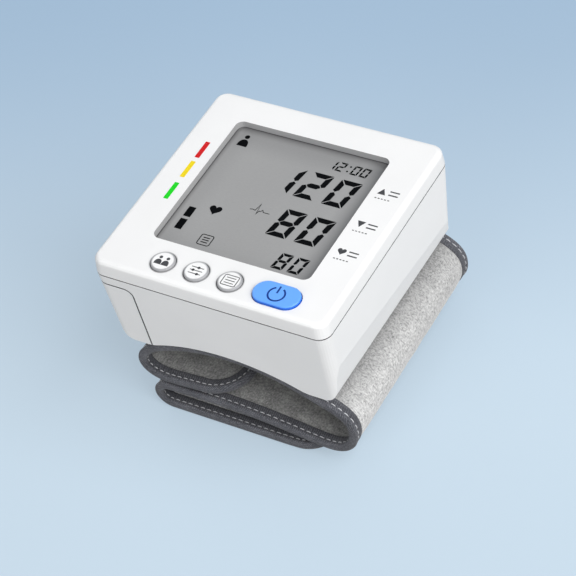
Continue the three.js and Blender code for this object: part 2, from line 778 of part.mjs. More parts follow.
const mainPath = [
  {
    curve: new THREE.LineCurve(
      at(flapEndX, flapZ + flapSlope * (flapEndX - flapTurnX)),
      at(flapTurnX, flapZ),
    ),
    steps: straightSteps,
  },
  {
    curve: new THREE.CubicBezierCurve(
      at(flapTurnX, flapZ),
      at(flapTurnX - flapReach, flapZ - flapSlope * flapReach),
      at(-saddleHalf - saddleFall.x * leftReach, saddleZ + saddleFall.y * leftReach),
      at(-saddleHalf, saddleZ),
    ),
    steps: turnSteps,
  },
  saddlePiece,
  {
    curve: new THREE.CubicBezierCurve(
      at(saddleHalf, saddleZ),
      at(saddleHalf + saddleFall.x * rightReach, saddleZ + saddleFall.y * rightReach),
      at(turnX, turnZ + turnUpReach),
      at(turnX, turnZ),
    ),
    steps: bendSteps,
  },
  {
    curve: new THREE.CubicBezierCurve(
      at(turnX, turnZ),
      at(turnX, turnZ - turnDownReach),
      at(dipX + dipReach, dipZ),
      at(dipX, dipZ),
    ),
    steps: bendSteps,
  },
  {
    curve: new THREE.CubicBezierCurve(
      at(dipX, dipZ),
      at(dipX - longReach, dipZ),
      at(foldX + crestReach, foldTopZ + crestRise),
      at(foldX + plyGap, foldTopZ),
    ),
    steps: bendSteps,
  },
];

const foldZ = tailZ + foldRadius;
const foldPath = [
  {
    curve: new THREE.EllipseCurve(
      foldX, foldZ, foldRadius, foldRadius, Math.PI / 2, (3 * Math.PI) / 2, false,
    ),
    steps: turnSteps,
  },
];

const tailPath = [
  {
    curve: new THREE.QuadraticBezierCurve(
      at(tailEndX, tailZ + tailRise),
      at((tailEndX + tailRiseX) / 2, tailZ),
      at(tailRiseX, tailZ),
    ),
    steps: straightSteps,
  },
  {
    curve: new THREE.LineCurve(at(tailRiseX, tailZ), at(foldX + plyGap, tailZ)),
    steps: straightSteps,
  },
];

// Stations along a path, each with its point, the way across the cloth towards the felt, and the
// length up to it
function stationsOf(path, feltSide) {
  const stations = [];
  for (const { curve, steps } of path) {
    for (let step = stations.length ? 1 : 0; step <= steps; step += 1) {
      const point = curve.getPoint(step / steps);
      const along = curve.getTangent(step / steps);
      const across = at(-along.y, along.x).multiplyScalar(feltSide);
      const before = stations.at(-1);
      const length = before ? before.length + before.point.distanceTo(point) : 0;
      stations.push({ point, across, length });
    }
  }
  return stations;
}

// The point at a length along the strip, at a height off its middle plane and a place off its
// middle line
function place(stations, length, height, y) {
  let k = 1;
  while (k < stations.length - 1 && stations[k].length < length) k += 1;
  const [from, to] = [stations[k - 1], stations[k]];
  const share = (length - from.length) / (to.length - from.length);
  const point = from.point.clone().lerp(to.point, share);
  const across = from.across.clone().lerp(to.across, share);
  return new THREE.Vector3(point.x + across.x * height, y + cuffShift, point.y + across.y * height);
}

// Lengths and half widths of a strip whose free end has round corners, drawn in by an inset
function outlineOf(stations, half, corner, inset) {
  const outline = [];
  for (let step = 0; step <= cornerSteps; step += 1) {
    const angle = (step / cornerSteps) * (Math.PI / 2);
    const radius = corner - inset;
    const length = corner - radius * Math.cos(angle);
    outline.push({ length, half: half - corner + radius * Math.sin(angle) });
  }
  for (const { length } of stations) {
    if (length > corner + plyGap) outline.push({ length, half: half - inset });
  }
  return outline;
}

// One ply of cloth between two heights
function ply(stations, outline, low, high) {
  const rings = outline.map(({ length, half }) => [
    place(stations, length, low, -half),
    place(stations, length, low, half),
    place(stations, length, high, half),
    place(stations, length, high, -half),
  ]);
  return skin(rings, [at(0, 0), at(1, 0), at(1, 1), at(0, 1)]);
}

// Binding tape, folded over the edge and run round the free end from one side to the other
function binding(stations, half, corner) {
  const inside = boundHalf - tapeThickness;
  const section = [
    at(0, boundHalf),
    at(0, -boundHalf),
    at(tapeWidth, -boundHalf),
    at(tapeWidth, -inside),
    at(tapeThickness, -inside),
    at(tapeThickness, inside),
    at(tapeWidth, inside),
    at(tapeWidth, boundHalf),
  ];
  const edges = section.map((spot) => outlineOf(stations, half, corner, spot.x));
  const count = edges[0].length;
  const ringAtEdge = (k, side) => section.map((spot, n) => (
    place(stations, edges[n][k].length, spot.y, side * edges[n][k].half)
  ));
  const rings = [];
  for (let k = count - 1; k >= 0; k -= 1) rings.push(ringAtEdge(k, -1));
  for (let k = 0; k < count; k += 1) rings.push(ringAtEdge(k, 1));
  return skin(rings, section);
}

const mainStations = stationsOf(mainPath, 1);
const foldStations = stationsOf(foldPath, 1);
const tailStations = stationsOf(tailPath, -1);
const clothInset = tapeThickness + plyGap;
const mainOutline = outlineOf(mainStations, cuffHalf, flapCorner, clothInset);
const tailOutline = outlineOf(tailStations, cuffHalf, tailCorner, clothInset);

const felt = solid(ply(mainStations, mainOutline, coreHalf, coreHalf + feltThickness));
const portHole = solid(rodZ(portRadius + slip, valveX, manifoldY, saddleZ, topZ));
add('cuff_felt', toGeometry(cut(felt, portHole)), 'felt');
const liningLow = -coreHalf - liningThickness;
add('cuff_lining', ply(mainStations, mainOutline, liningLow, -coreHalf), 'lining');
add('cuff_binding', binding(mainStations, cuffHalf, flapCorner), 'tape');

// The bladder lies between felt and lining along the saddle, and its port stands up through the
// case into the manifold
function bladder() {
  const before = mainPath.slice(0, mainPath.indexOf(saddlePiece));
  const first = before.reduce((sum, { steps }) => sum + steps, 0);
  const along = mainStations.slice(first, first + saddlePiece.steps + 1);
  const outline = along.map(({ length }) => ({ length, half: bladderHalf }));
  const pad = solid(ply(mainStations, outline, -bladderThickness / 2, bladderThickness / 2));
  const portFoot = archCentre + Math.sqrt(saddleRadius ** 2 - valveX ** 2);
  return join(pad, solid(rodZ(portRadius, valveX, manifoldY, portFoot, portTop)));
}

add('air_bladder', toGeometry(bladder()), 'silicone');

const foldOutline = foldStations.map(({ length }) => ({ length, half: cuffHalf }));
add('cuff_fold', ply(foldStations, foldOutline, -clothHalf, clothHalf), 'felt');

add('tail_felt', ply(tailStations, tailOutline, coreHalf, coreHalf + feltThickness), 'felt');
add('tail_lining', ply(tailStations, tailOutline, liningLow, -coreHalf), 'lining');
add('tail_binding', binding(tailStations, cuffHalf, tailCorner), 'tape');

// Hook pad, sewn on the tail's underside
const padTop = tailZ - clothHalf - plyGap;
const [padLeft, padRight] = [cuffShift - padHalf, cuffShift + padHalf];
add('hook_pad', block(padBack, padFront, padLeft, padRight, tailZ - padDepth, padTop), 'tape');

export default monitor;
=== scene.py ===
import math

import bpy
import numpy as np
from mathutils import Matrix, Vector, noise


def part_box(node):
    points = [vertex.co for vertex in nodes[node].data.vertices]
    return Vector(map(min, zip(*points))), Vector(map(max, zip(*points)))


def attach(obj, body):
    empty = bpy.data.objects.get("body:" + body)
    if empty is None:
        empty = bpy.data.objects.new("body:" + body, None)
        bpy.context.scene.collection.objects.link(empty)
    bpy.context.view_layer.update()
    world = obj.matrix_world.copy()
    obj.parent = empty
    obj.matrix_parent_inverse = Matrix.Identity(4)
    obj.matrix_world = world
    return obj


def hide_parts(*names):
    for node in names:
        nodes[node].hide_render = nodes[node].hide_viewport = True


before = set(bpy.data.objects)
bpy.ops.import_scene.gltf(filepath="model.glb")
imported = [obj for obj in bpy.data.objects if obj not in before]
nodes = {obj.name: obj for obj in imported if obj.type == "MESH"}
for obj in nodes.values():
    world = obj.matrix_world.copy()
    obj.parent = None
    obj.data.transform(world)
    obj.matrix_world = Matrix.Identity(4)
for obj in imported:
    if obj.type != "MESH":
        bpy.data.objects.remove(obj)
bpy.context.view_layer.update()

# Studio: a pale blue table that deepens towards the back, a large soft lamp on the right, weak ones
# in front and behind, and even light all round. The camera looks down from the front right.


class Wire:
    """A socket in a node tree. Sums on it add Math nodes, and node() adds any other node."""

    def __init__(self, tree, socket=None):
        self.tree = tree
        self.socket = socket

    def node(self, kind, settings, inputs, output=0):
        made = self.tree.nodes.new("ShaderNode" + kind)
        for name, value in settings.items():
            if name == "stops":
                ramp = made.color_ramp.elements
                for element, (place, colour) in zip(ramp, (value[0], value[-1])):
                    element.position = place
                    element.color = colour
                for place, colour in value[1:-1]:
                    ramp.new(place).color = colour
            else:
                setattr(made, name, value)
        for name, value in inputs.items():
            if isinstance(value, Wire):
                self.tree.links.new(value.socket, made.inputs[name])
            else:
                made.inputs[name].default_value = value
        return Wire(self.tree, made.outputs[output] if made.outputs else None)

    def math(self, operation, *values):
        return self.node("Math", {"operation": operation}, dict(enumerate(values)))

    def __add__(self, other):
        return self.math("ADD", self, other)

    def __sub__(self, other):
        return self.math("SUBTRACT", self, other)

    def __rsub__(self, other):
        return self.math("SUBTRACT", other, self)

    def __mul__(self, other):
        return self.math("MULTIPLY", self, other)

    def __gt__(self, other):
        return self.math("GREATER_THAN", self, other)

    def __lt__(self, other):
        return self.math("LESS_THAN", self, other)

    __radd__ = __add__
    __rmul__ = __mul__

    def mix(self, first, second):
        """From the first colour to the second as this value goes from nothing to one."""
        return self.node("Mix", {"data_type": "RGBA"}, {0: self, 6: first, 7: second}, 2)

    def smooth(self, low, high):
        """A soft step from low to high."""
        settings = {"interpolation_type": "SMOOTHSTEP"}
        return self.node("MapRange", settings, {"Value": self, "From Min": low, "From Max": high})


def new_finish(name):
    finish = bpy.data.materials.new(name)
    finish.use_nodes = True
    finish.node_tree.nodes.clear()
    return finish, Wire(finish.node_tree)


def coat(wire, inputs):
    shader = wire.node("BsdfPrincipled", {}, inputs)
    wire.node("OutputMaterial", {}, {"Surface": shader})


def rgb(red, green, blue):
    """A colour given as it looks on screen, from 0 to 255."""
    share = [c / 255 for c in (red, green, blue)]
    return [c / 12.92 if c <= 0.04045 else ((c + 0.055) / 1.055) ** 2.4 for c in share] + [1.0]


backdrop = rgb(168, 193, 217)
world = bpy.data.worlds.new("studio")
bpy.context.scene.world = world
world.use_nodes = True
world.node_tree.nodes.clear()
sky = Wire(world.node_tree)


def seen(wire):
    """One where the camera looks straight, in a mirror or through glass, and nothing for other light."""
    kinds = ("Is Camera Ray", "Is Glossy Ray", "Is Transmission Ray")
    straight, mirrored, through = (wire.node("LightPath", {}, {}, kind) for kind in kinds)
    return straight + mirrored + through


even_light = sky.node("Background", {}, {"Color": (1, 1, 1, 1), "Strength": 0.31})
shown = sky.node("Background", {}, {"Color": backdrop, "Strength": 1.0})
sky.node("OutputWorld", {}, {"Surface": sky.node("MixShader", {}, {0: seen(sky), 1: even_light, 2: shown})})

bpy.ops.mesh.primitive_circle_add(vertices=96, radius=4, fill_type="NGON", location=(0, 0, -0.0003))
floor = bpy.context.object
floor.name = "floor"
paint, wire = new_finish("floor_paint")
place = wire.node("TexCoord", {}, {}, "Object")
cloud = wire.node("TexNoise", {}, {"Vector": place, "Scale": 3.0})
floor_back, near, far = (-0.348, 0.937, 0), -0.035, 0.175
pale_blue, deep_blue, bounce_grey = rgb(201, 219, 233), rgb(164, 190, 215), rgb(96, 96, 96)
lit_share, own_share = 0.4, 0.58
depth = wire.node("VectorMath", {"operation": "DOT_PRODUCT"}, {0: place, 1: floor_back}, "Value")
sweep = (0.94 * depth.smooth(near, far) + 0.06 * cloud).mix(pale_blue, deep_blue)
lit = wire.node("VectorMath", {"operation": "SCALE"}, {0: sweep, "Scale": lit_share})
glow = wire.node("VectorMath", {"operation": "SCALE"}, {0: sweep, "Scale": own_share})
coat(wire, {
    "Base Color": seen(wire).mix(bounce_grey, lit),
    "Emission Color": seen(wire).mix(rgb(0, 0, 0), glow),
    "Emission Strength": 1.0,
    "Roughness": 0.95,
    "Specular IOR Level": 0.05,
})
floor.data.materials.append(paint)

lens = bpy.data.cameras.new("camera")
lens.lens = 136.8
lens.sensor_width = 36
lens.clip_start = 0.01
camera = bpy.data.objects.new("camera", lens)
bpy.context.scene.collection.objects.link(camera)
right, up = Vector((0.86549, 0.47642, -0.15479)), Vector((-0.25433, 0.68413, 0.68358))
stand = Vector((0.26213, -0.33562, 0.45848))
camera.matrix_world = Matrix.Translation(stand) @ Matrix((right, up, right.cross(up))).transposed().to_4x4()
bpy.context.scene.camera = camera
lamp_distance, lamp_aim = 1.2, Vector((0, 0, 0.04))


def lamp(name, towards, size, power):
    """A square soft box that faces the monitor from a direction."""
    light = bpy.data.lights.new(name, "AREA")
    light.size = size
    light.energy = power
    box = bpy.data.objects.new(name, light)
    bpy.context.scene.collection.objects.link(box)
    direction = Vector(towards).normalized()
    box.location = lamp_aim + direction * lamp_distance
    box.rotation_euler = direction.to_track_quat("Z", "Y").to_euler()


lamp("key_lamp", (0.72, -0.10, 0.69), 1.2, 18.8)
lamp("front_lamp", (-0.1, -0.97, 0.22), 0.8, 5.8)
lamp("back_lamp", (-0.78, 0.6, 0.14), 0.8, 4.0)
bpy.context.scene.view_settings.view_transform = "Standard"

# Lower case: the white tub on two legs that holds the works, moulded in one shot of ABS.
# Its outside has the mould's fine spark-eroded grain, which takes the gloss down to a satin.


def moulded(name, colour, roughness, grain=0.00002, dark=None):
    """Moulded plastic: spark-eroded grain, faint flow marks and a little unevenness in the gloss.

    dark is a function that gives how far a place lies in painted shade, and the shade colour painted there.
    """
    plastic, wire = new_finish(name)
    place = wire.node("TexCoord", {}, {}, "Object")
    flow = wire.node("TexNoise", {}, {"Vector": place, "Scale": 38.0, "Detail": 3.0})
    eroded = wire.node("TexNoise", {}, {"Vector": place, "Scale": 4200.0, "Detail": 2.0})
    pits = wire.node("TexVoronoi", {}, {"Vector": place, "Scale": 2600.0})
    dim = [c * 0.965 for c in colour[:3]] + [1.0]
    tint = flow.smooth(0.3, 0.7).mix(dim, colour)
    if dark:
        depth, shade = dark(wire, place)
        tint = depth.mix(tint, shade)
    coat(wire, {
        "Base Color": tint,
        "Roughness": roughness - 0.05 + 0.1 * (flow * 0.5 + eroded * 0.5),
        "Normal": wire.node("Bump", {}, {
            "Strength": 0.35, "Distance": grain, "Height": eroded + 0.5 * pits}),
    })
    return plastic


def dress(finish, *names):
    for name in names:
        nodes[name].material_slots[0].material = finish


joint_half, hair, joint_shade_grey = 0.00015, 0.00002, rgb(74, 74, 76)
case_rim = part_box("lower_case")[1].z
cover_corner, cover_radius = (-0.0267, 0, 0.0477), 0.0025


def case_joint_shade(wire, place):
    """Painted shade on the rim under the lid, and on the two lips of the gap round the battery cover."""
    high = wire.node("SeparateXYZ", {}, {0: place}, "Z")
    from_corner = wire.node("VectorMath", {"operation": "SUBTRACT"}, {0: place, 1: cover_corner})
    level = wire.node("VectorMath", {"operation": "MULTIPLY"}, {0: from_corner, 1: (1, 0, 1)})
    beyond = wire.node("VectorMath", {"operation": "MAXIMUM"}, {0: level, 1: (0, 0, 0)})
    off = wire.node("VectorMath", {"operation": "LENGTH"}, {0: beyond}, "Value") - cover_radius
    return (high > case_rim - hair) + (off.math("ABSOLUTE", off) < 1.5 * joint_half), joint_shade_grey


case_plastic = moulded("case_plastic", rgb(246, 246, 246), 0.42, dark=case_joint_shade)
dress(case_plastic, "lower_case")

# Air works: a motor pump and a release valve in plated cans, a moulded pump head, and a silicone
# manifold with push-on hoses. They lie in ribs on the floor of the lower case.


def plated(name, colour, roughness, stretch):
    """Drawn and plated sheet metal, with fine lines from the die along one direction."""
    metal, wire = new_finish(name)
    place = wire.node("TexCoord", {}, {}, "Object")
    drawn = wire.node("VectorMath", {"operation": "MULTIPLY"}, {0: place, 1: stretch})
    lines = wire.node("TexNoise", {}, {"Vector": drawn, "Scale": 1.0, "Detail": 4.0})
    stain = wire.node("TexNoise", {}, {"Vector": place, "Scale": 150.0, "Detail": 4.0})
    dull = [c * 0.8 for c in colour[:3]] + [1.0]
    coat(wire, {
        "Base Color": stain.smooth(0.35, 0.7).mix(dull, colour),
        "Metallic": 1.0,
        "Roughness": roughness + 0.2 * lines * stain,
        "Normal": wire.node("Bump", {}, {"Strength": 0.2, "Distance": 0.00002, "Height": lines}),
    })
    return metal


dress(plated("motor_can", rgb(186, 189, 193), 0.28, (3000, 200, 3000)), "pump_motor", "release_valve")
dress(moulded("pump_plastic", rgb(176, 176, 176), 0.5), "pump_head")

silicone, wire = new_finish("silicone")
place = wire.node("TexCoord", {}, {}, "Object")
haze = wire.node("TexNoise", {}, {"Vector": place, "Scale": 300.0, "Detail": 3.0})
coat(wire, {
    "Base Color": haze.mix(rgb(212, 212, 204), rgb(226, 226, 220)),
    "Roughness": 0.4 + 0.2 * haze,
    "Subsurface Weight": 0.2,
    "Subsurface Radius": (0.002, 0.002, 0.002),
    "Normal": wire.node("Bump", {}, {"Strength": 0.15, "Distance": 0.00003, "Height": haze}),
})
dress(silicone, "air_manifold", "valve_hose", "pump_hose", "sensor_hose")

# Batteries: two AAA cells in printed shrink sleeves, one above the other, between leaf contacts of
# nickel-plated spring strip. The cover is part of the housing's left side and slides off to the left.
sleeve, wire = new_finish("cell_sleeve")
place = wire.node("TexCoord", {}, {}, "Object")
along = wire.node("SeparateXYZ", {}, {0: place}, "Y")
end = along.math("ABSOLUTE", along)
can_start, band_start, band_stop = 0.0213, 0.0130, 0.0142
can = end > can_start
band = (end > band_start) * (end < band_stop)
shrink = wire.node("TexNoise", {}, {"Vector": place, "Scale": 420.0, "Detail": 3.0})
jacket = band.mix(shrink.mix(rgb(70, 76, 86), rgb(82, 88, 98)), rgb(206, 208, 212))
coat(wire, {
    "Base Color": can.mix(jacket, rgb(188, 190, 192)),
    "Metallic": 0.15 + 0.85 * can,
    "Roughness": 0.24 + 0.14 * shrink,
    "Normal": wire.node("Bump", {}, {"Strength": 0.12, "Distance": 0.00004, "Height": shrink}),
})
dress(sleeve, "battery_lower", "battery_upper")
dress(plated("contact_nickel", rgb(200, 198, 190), 0.3, (400, 3000, 3000)),
      "contact_plus", "contact_minus", "contact_bridge")
dress(case_plastic, "battery_cover")

# Circuit board: glass-fibre laminate with green solder mask over copper tracks. Chip, buzzer and
# pressure sensor sit on its underside, the four push switches with their plungers on top.
mask, wire = new_finish("solder_mask")
place = wire.node("TexCoord", {}, {}, "Object")
east = wire.node("SeparateXYZ", {}, {0: place}, "X")
north = wire.node("SeparateXYZ", {}, {0: place}, "Y")
patches = wire.node("TexNoise", {}, {"Vector": place, "Scale": 55.0, "Detail": 0.0})
runs = patches > 0.5
turned = runs.mix(
    wire.node("CombineXYZ", {}, {"X": east}), wire.node("CombineXYZ", {}, {"X": north}))
tracks = wire.node("TexWave", {"wave_profile": "TRI"}, {"Vector": turned, "Scale": 125.0}).smooth(0.55, 0.65)
glass = wire.node("TexBrick", {}, {"Vector": place, "Scale": 2200.0}, 1)
coat(wire, {
    "Base Color": tracks.mix(rgb(20, 92, 52), rgb(42, 124, 70)),
    "Roughness": 0.32 + 0.1 * glass,
    "Normal": wire.node("Bump", {}, {"Strength": 0.3, "Distance": 0.00004, "Height": tracks + 0.2 * glass}),
})
dress(mask, "circuit_board")
dress(moulded("component_epoxy", rgb(34, 34, 36), 0.55, 0.00004),
      "controller_chip", "buzzer", "pressure_sensor",
      "user_switch", "set_switch", "memory_switch", "start_switch")
dress(moulded("plunger_nylon", rgb(172, 174, 176), 0.5),
      "user_plunger", "set_plunger", "memory_plunger", "start_plunger")

# Display: a liquid crystal cell with a grey reflective polariser, clipped into a moulded frame on two
# zebra strips of layered rubber. The dark figures are segments of the crystal, set in the cell's face.
dress(moulded("bracket_plastic", rgb(168, 168, 168), 0.55), "display_bracket")
zebra, wire = new_finish("zebra_rubber")
layers = wire.node("SeparateXYZ", {}, {0: wire.node("TexCoord", {}, {}, "Object")}, "X")
carbon = wire.node("TexWave", {}, {"Vector": wire.node("CombineXYZ", {}, {"X": layers}), "Scale": 1600.0})
coat(wire, {
    "Base Color": carbon.smooth(0.4, 0.6).mix(rgb(40, 40, 42), rgb(150, 148, 146)),
    "Roughness": 0.75,
})
dress(zebra, "contact_strip_front", "contact_strip_back")

polariser, wire = new_finish("polariser")
place = wire.node("TexCoord", {}, {}, "Object")
fibre = wire.node("VectorMath", {"operation": "MULTIPLY"}, {0: place, 1: (900, 5200, 900)})
film = wire.node("TexNoise", {}, {"Vector": fibre, "Scale": 1.0, "Detail": 3.0})
tone = wire.node("TexNoise", {}, {"Vector": place, "Scale": 30.0, "Detail": 1.0})
window_y, window_half = 1.8, 0.024
middle = wire.node("VectorMath", {"operation": "SUBTRACT"}, {0: place, 1: (0, window_y / 1000, 0)})
east = wire.node("SeparateXYZ", {}, {0: middle}, "X")
north = wire.node("SeparateXYZ", {}, {0: middle}, "Y")
outmost = east.math("MAXIMUM", east.math("ABSOLUTE", east), north.math("ABSOLUTE", north))
# Painted shadow: a dark line round the cell's edge under the window's rim, with painted shade in soft bands
# along the window's back, left and right walls.
edge = outmost.smooth(window_half - 0.0005, window_half - 0.0001)
shade_end = window_half + 0.0002
back_shade = north.smooth(0.0212, shade_end) + 0.35 * north.smooth(0.0135, 0.0205)
left_shade = east.smooth(-0.0222, -shade_end) + 0.12 * east.smooth(-0.015, -0.021)
right_shade = 0.8 * east.smooth(0.0165, shade_end)
shade = 0.75 * (back_shade + left_shade + right_shade)
grey = (film * 0.45 + tone * 0.55).smooth(0.25, 0.75).mix(rgb(151, 151, 151), rgb(159, 159, 159))
coat(wire, {
    "Base Color": edge.mix(shade.mix(grey, rgb(112, 112, 113)), rgb(88, 88, 89)),
    "Roughness": 0.34 + 0.08 * film,
    "Specular IOR Level": 0.25,
    "Normal": wire.node("Bump", {}, {"Strength": 0.06, "Distance": 0.00001, "Height": film}),
})
dress(polariser, "display_glass")


def patch(points):
    """A flat shape with one outline."""
    return list(points), [list(range(len(points)))]


def disc(x, y, radius, steps=28):
    turn = [2 * math.pi * k / steps for k in range(steps)]
    return patch([(x + radius * math.cos(a), y + radius * math.sin(a)) for a in turn])


def stroke(points, width, closed=False):
    """A line of even width along points, mitred at its corners."""
    line = np.array(points, float)
    before = np.roll(line, 1, 0)
    after = np.roll(line, -1, 0)
    if not closed:
        before[0] = 2 * line[0] - line[1]
        after[-1] = 2 * line[-1] - line[-2]
    first, second = line - before, after - line
    first /= np.linalg.norm(first, axis=1, keepdims=True)
    second /= np.linalg.norm(second, axis=1, keepdims=True)
    out = first + second
    out /= np.linalg.norm(out, axis=1, keepdims=True)
    reach = width / 2 / np.maximum((out * first).sum(1, keepdims=True), 0.3)
    side = np.stack([-out[:, 1], out[:, 0]], 1) * reach
    count = len(line)
    faces = [[k, count + k, count + (k + 1) % count, (k + 1) % count] for k in range(count - (not closed))]
    return [tuple(p) for p in np.concatenate([line + side, line - side])], faces


def rounded_box(x, y, half_x, half_y, radius, steps=4):
    points = []
    for quarter, (sx, sy) in enumerate(((1, 1), (-1, 1), (-1, -1), (1, -1))):
        for k in range(steps + 1):
            a = math.pi / 2 * (quarter + k / steps)
            points.append((x + sx * (half_x - radius) + radius * math.cos(a),
                           y + sy * (half_y - radius) + radius * math.sin(a)))
    return points


def shape_mesh(name, points, faces, finish):
    """A mesh object from points in metres, with its sharp edges kept."""
    mesh = bpy.data.meshes.new(name)
    mesh.from_pydata([tuple(p) for p in points], [], faces)
    mesh.validate()
    mesh.materials.append(finish)
    mesh.polygons.foreach_set("use_smooth", [True] * len(mesh.polygons))
    mesh.set_sharp_from_angle(angle=math.radians(48))
    piece = bpy.data.objects.new(name, mesh)
    bpy.context.scene.collection.objects.link(piece)
    return piece


def inlay(name, shapes, low, high, finish):
    """A thin print: flat shapes in millimetres, given thickness between two heights in metres."""
    points, faces = [], []
    for outline, patches in shapes:
        count, base = len(outline), len(points)
        points += [(x / 1000, y / 1000, high) for x, y in outline]
        points += [(x / 1000, y / 1000, low) for x, y in outline]
        edges = {}
        for face in patches:
            turn = sum(outline[a][0] * outline[b][1] - outline[b][0] * outline[a][1]
                       for a, b in zip(face, face[1:] + face[:1]))
            face = face if turn > 0 else face[::-1]
            faces.append([base + k for k in face])
            faces.append([base + count + k for k in face[::-1]])
            for a, b in zip(face, face[1:] + face[:1]):
                edges[(a, b)] = True
        for a, b in edges:
            if (b, a) not in edges:
                faces.append([base + b, base + a, base + count + a, base + count + b])
    return shape_mesh(name, points, faces, finish)


bars = {"0": "abcdef", "1": "bc", "2": "abged", "8": "abcdefg"}


def figure(value, x, y, width, height, thick, gap):
    """One seven-bar figure that leans to the right."""
    middle = height / 2
    upper = [(0, height - gap), (thick, height - gap - thick), (thick, middle + gap / 2 + thick / 2),
             (thick / 2, middle + gap / 2), (0, middle + gap / 2 + thick * 0.3)]
    top = [(gap, height), (width - gap, height),
           (width - gap - thick, height - thick), (gap + thick, height - thick)]
    half = thick / 2
    left, right = thick + gap, width - thick - gap
    cross = [(half + gap, middle), (left, middle + half), (right, middle + half),
             (width - half - gap, middle), (right, middle - half), (left, middle - half)]
    outlines = {
        "a": top, "d": [(px, height - py) for px, py in top], "g": cross, "f": upper,
        "e": [(px, height - py) for px, py in upper], "b": [(width - px, py) for px, py in upper],
        "c": [(width - px, height - py) for px, py in upper],
    }
    lean = math.tan(math.radians(8.5))
    return [patch([(x + px + lean * py, y + window_y + py) for px, py in outlines[bar]])
            for bar in bars[value]]


def heart(x, y, width, height):
    points = []
    for k in range(40):
        a = 2 * math.pi * k / 40
        points.append((x + width / 32 * 16 * math.sin(a) ** 3,
                       y + height / 29 * (13 * math.cos(a) - 5 * math.cos(2 * a) - 2 * math.cos(3 * a)
                                          - math.cos(4 * a) + 2.5)))
    return patch(points)


def person(x, y, height):
    """A head over rounded shoulders."""
    head = disc(x, y + 0.37 * height, 0.17 * height, 18)
    body = [(x + 0.36 * height * math.cos(a), y - 0.5 * height + 0.62 * height * math.sin(a) ** 0.7)
            for a in np.linspace(0, math.pi, 19)]
    return [head, patch(body)]


readings = (
    ("120", (-4.85, 3.35, 12.05), 4.3, 6.25, 10.2, 1.65, 0.2),
    ("80", (3.3, 12.0), -10.9, 6.25, 10.3, 1.65, 0.2),
    ("80", (10.7, 15.55), -21.3, 3.5, 5.8, 0.88, 0.14),
    ("1200", (6.9, 9.6, 14.15, 16.95), 16.85, 2.2, 3.5, 0.52, 0.08),
)
figures = []
for number, places, y, width, height, thick, gap in readings:
    for value, x in zip(number, places):
        figures += figure(value, x, y, width, height, thick, gap)
figures += [disc(x, window_y + y, 0.3, 12) for x, y in ((13.2, 17.6), (13.45, 19.5))]
bar_left, bar_right, bar_ends = -21.25, -19.1, ((-10.75, -7.0), (-15.6, -11.7))
figures += [patch([(bar_left, low), (bar_right, low), (bar_right, high), (bar_left, high)])
            for low, high in bar_ends]
figures.append(heart(-13.85, window_y - 7.95, 3.7, 3.4))
beat = [(-5.0, -2.3), (-4.2, -2.1), (-3.4, -2.3), (-2.9, 0.3), (-2.55, -3.4), (-2.2, -2.2), (-1.8, -2.3),
        (-1.35, -1.6), (-0.9, -2.3), (1.0, -2.3)]
figures.append(stroke(beat, 0.2))
figures.append(stroke(rounded_box(-10.6, window_y - 18.6, 1.85, 1.85, 0.55), 0.26, True))
figures += [stroke([(-11.6, window_y + y), (-9.6, window_y + y)], 0.3) for y in (-17.75, -18.6, -19.45)]
figures += person(-19.7, window_y + 18.9, 4.3)

crystal, wire = new_finish("crystal_dark")
edge = wire.node("TexNoise", {}, {"Vector": wire.node("TexCoord", {}, {}, "Object"), "Scale": 900.0})
coat(wire, {"Base Color": edge.mix(rgb(2, 2, 2), rgb(7, 7, 8)), "Roughness": 0.5 + 0.1 * edge,
            "Specular IOR Level": 0.04})
glass_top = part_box("display_glass")[1].z
crystal_depth, crystal_rise = 0.00002, 0.00003
segments = inlay("display_figures", figures, glass_top - crystal_depth, glass_top + crystal_rise, crystal)
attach(segments, "housing")

# Push buttons: three round white caps and a long blue one, moulded, each with a pad-printed sign.
# Their flanges hold them under the lid, and their stems rest on the switches' plungers.
row_y, round_x = -29.5, (-15.69, -5.45, 4.78)
rim_start, rim_stop, cap_radius = 0.0027, 0.0032, 0.0039


def cap_rim_shade(wire, place):
    """Painted shade: a grey ring on the rounded rims of the caps, where they dip into their wells."""
    wear_and_shade = 0.0
    for x in round_x:
        away = wire.node("VectorMath", {"operation": "SUBTRACT"}, {0: place, 1: (x / 1000, row_y / 1000, 0)})
        level = wire.node("VectorMath", {"operation": "MULTIPLY"}, {0: away, 1: (1, 1, 0)})
        ring = wire.node("VectorMath", {"operation": "LENGTH"}, {0: level}, "Value")
        wear_and_shade = wear_and_shade + ring.smooth(rim_start, rim_stop) * (ring < cap_radius)
    return wear_and_shade, rgb(156, 156, 158)


dress(moulded("button_plastic", rgb(243, 243, 243), 0.36, dark=cap_rim_shade),
      "user_button", "set_button", "memory_button")

blue, wire = new_finish("start_plastic")
place = wire.node("TexCoord", {}, {}, "Object")
facing = wire.node("SeparateXYZ", {}, {0: wire.node("TexCoord", {}, {}, "Normal")}, "Z")
flow = wire.node("TexNoise", {}, {"Vector": place, "Scale": 120.0, "Detail": 3.0})
grain = wire.node("TexNoise", {}, {"Vector": place, "Scale": 4200.0, "Detail": 2.0})
face = flow.mix(rgb(98, 163, 250), rgb(106, 170, 255))
# Painted shade: the blue goes darker where the cap's surface turns from its top down to its sides.
coat(wire, {
    "Base Color": facing.smooth(0.2, 0.95).mix(rgb(30, 104, 214), face),
    "Roughness": 0.36 + 0.08 * grain,
    "Normal": wire.node("Bump", {}, {"Strength": 0.3, "Distance": 0.00002, "Height": grain}),
})
dress(blue, "start_button")


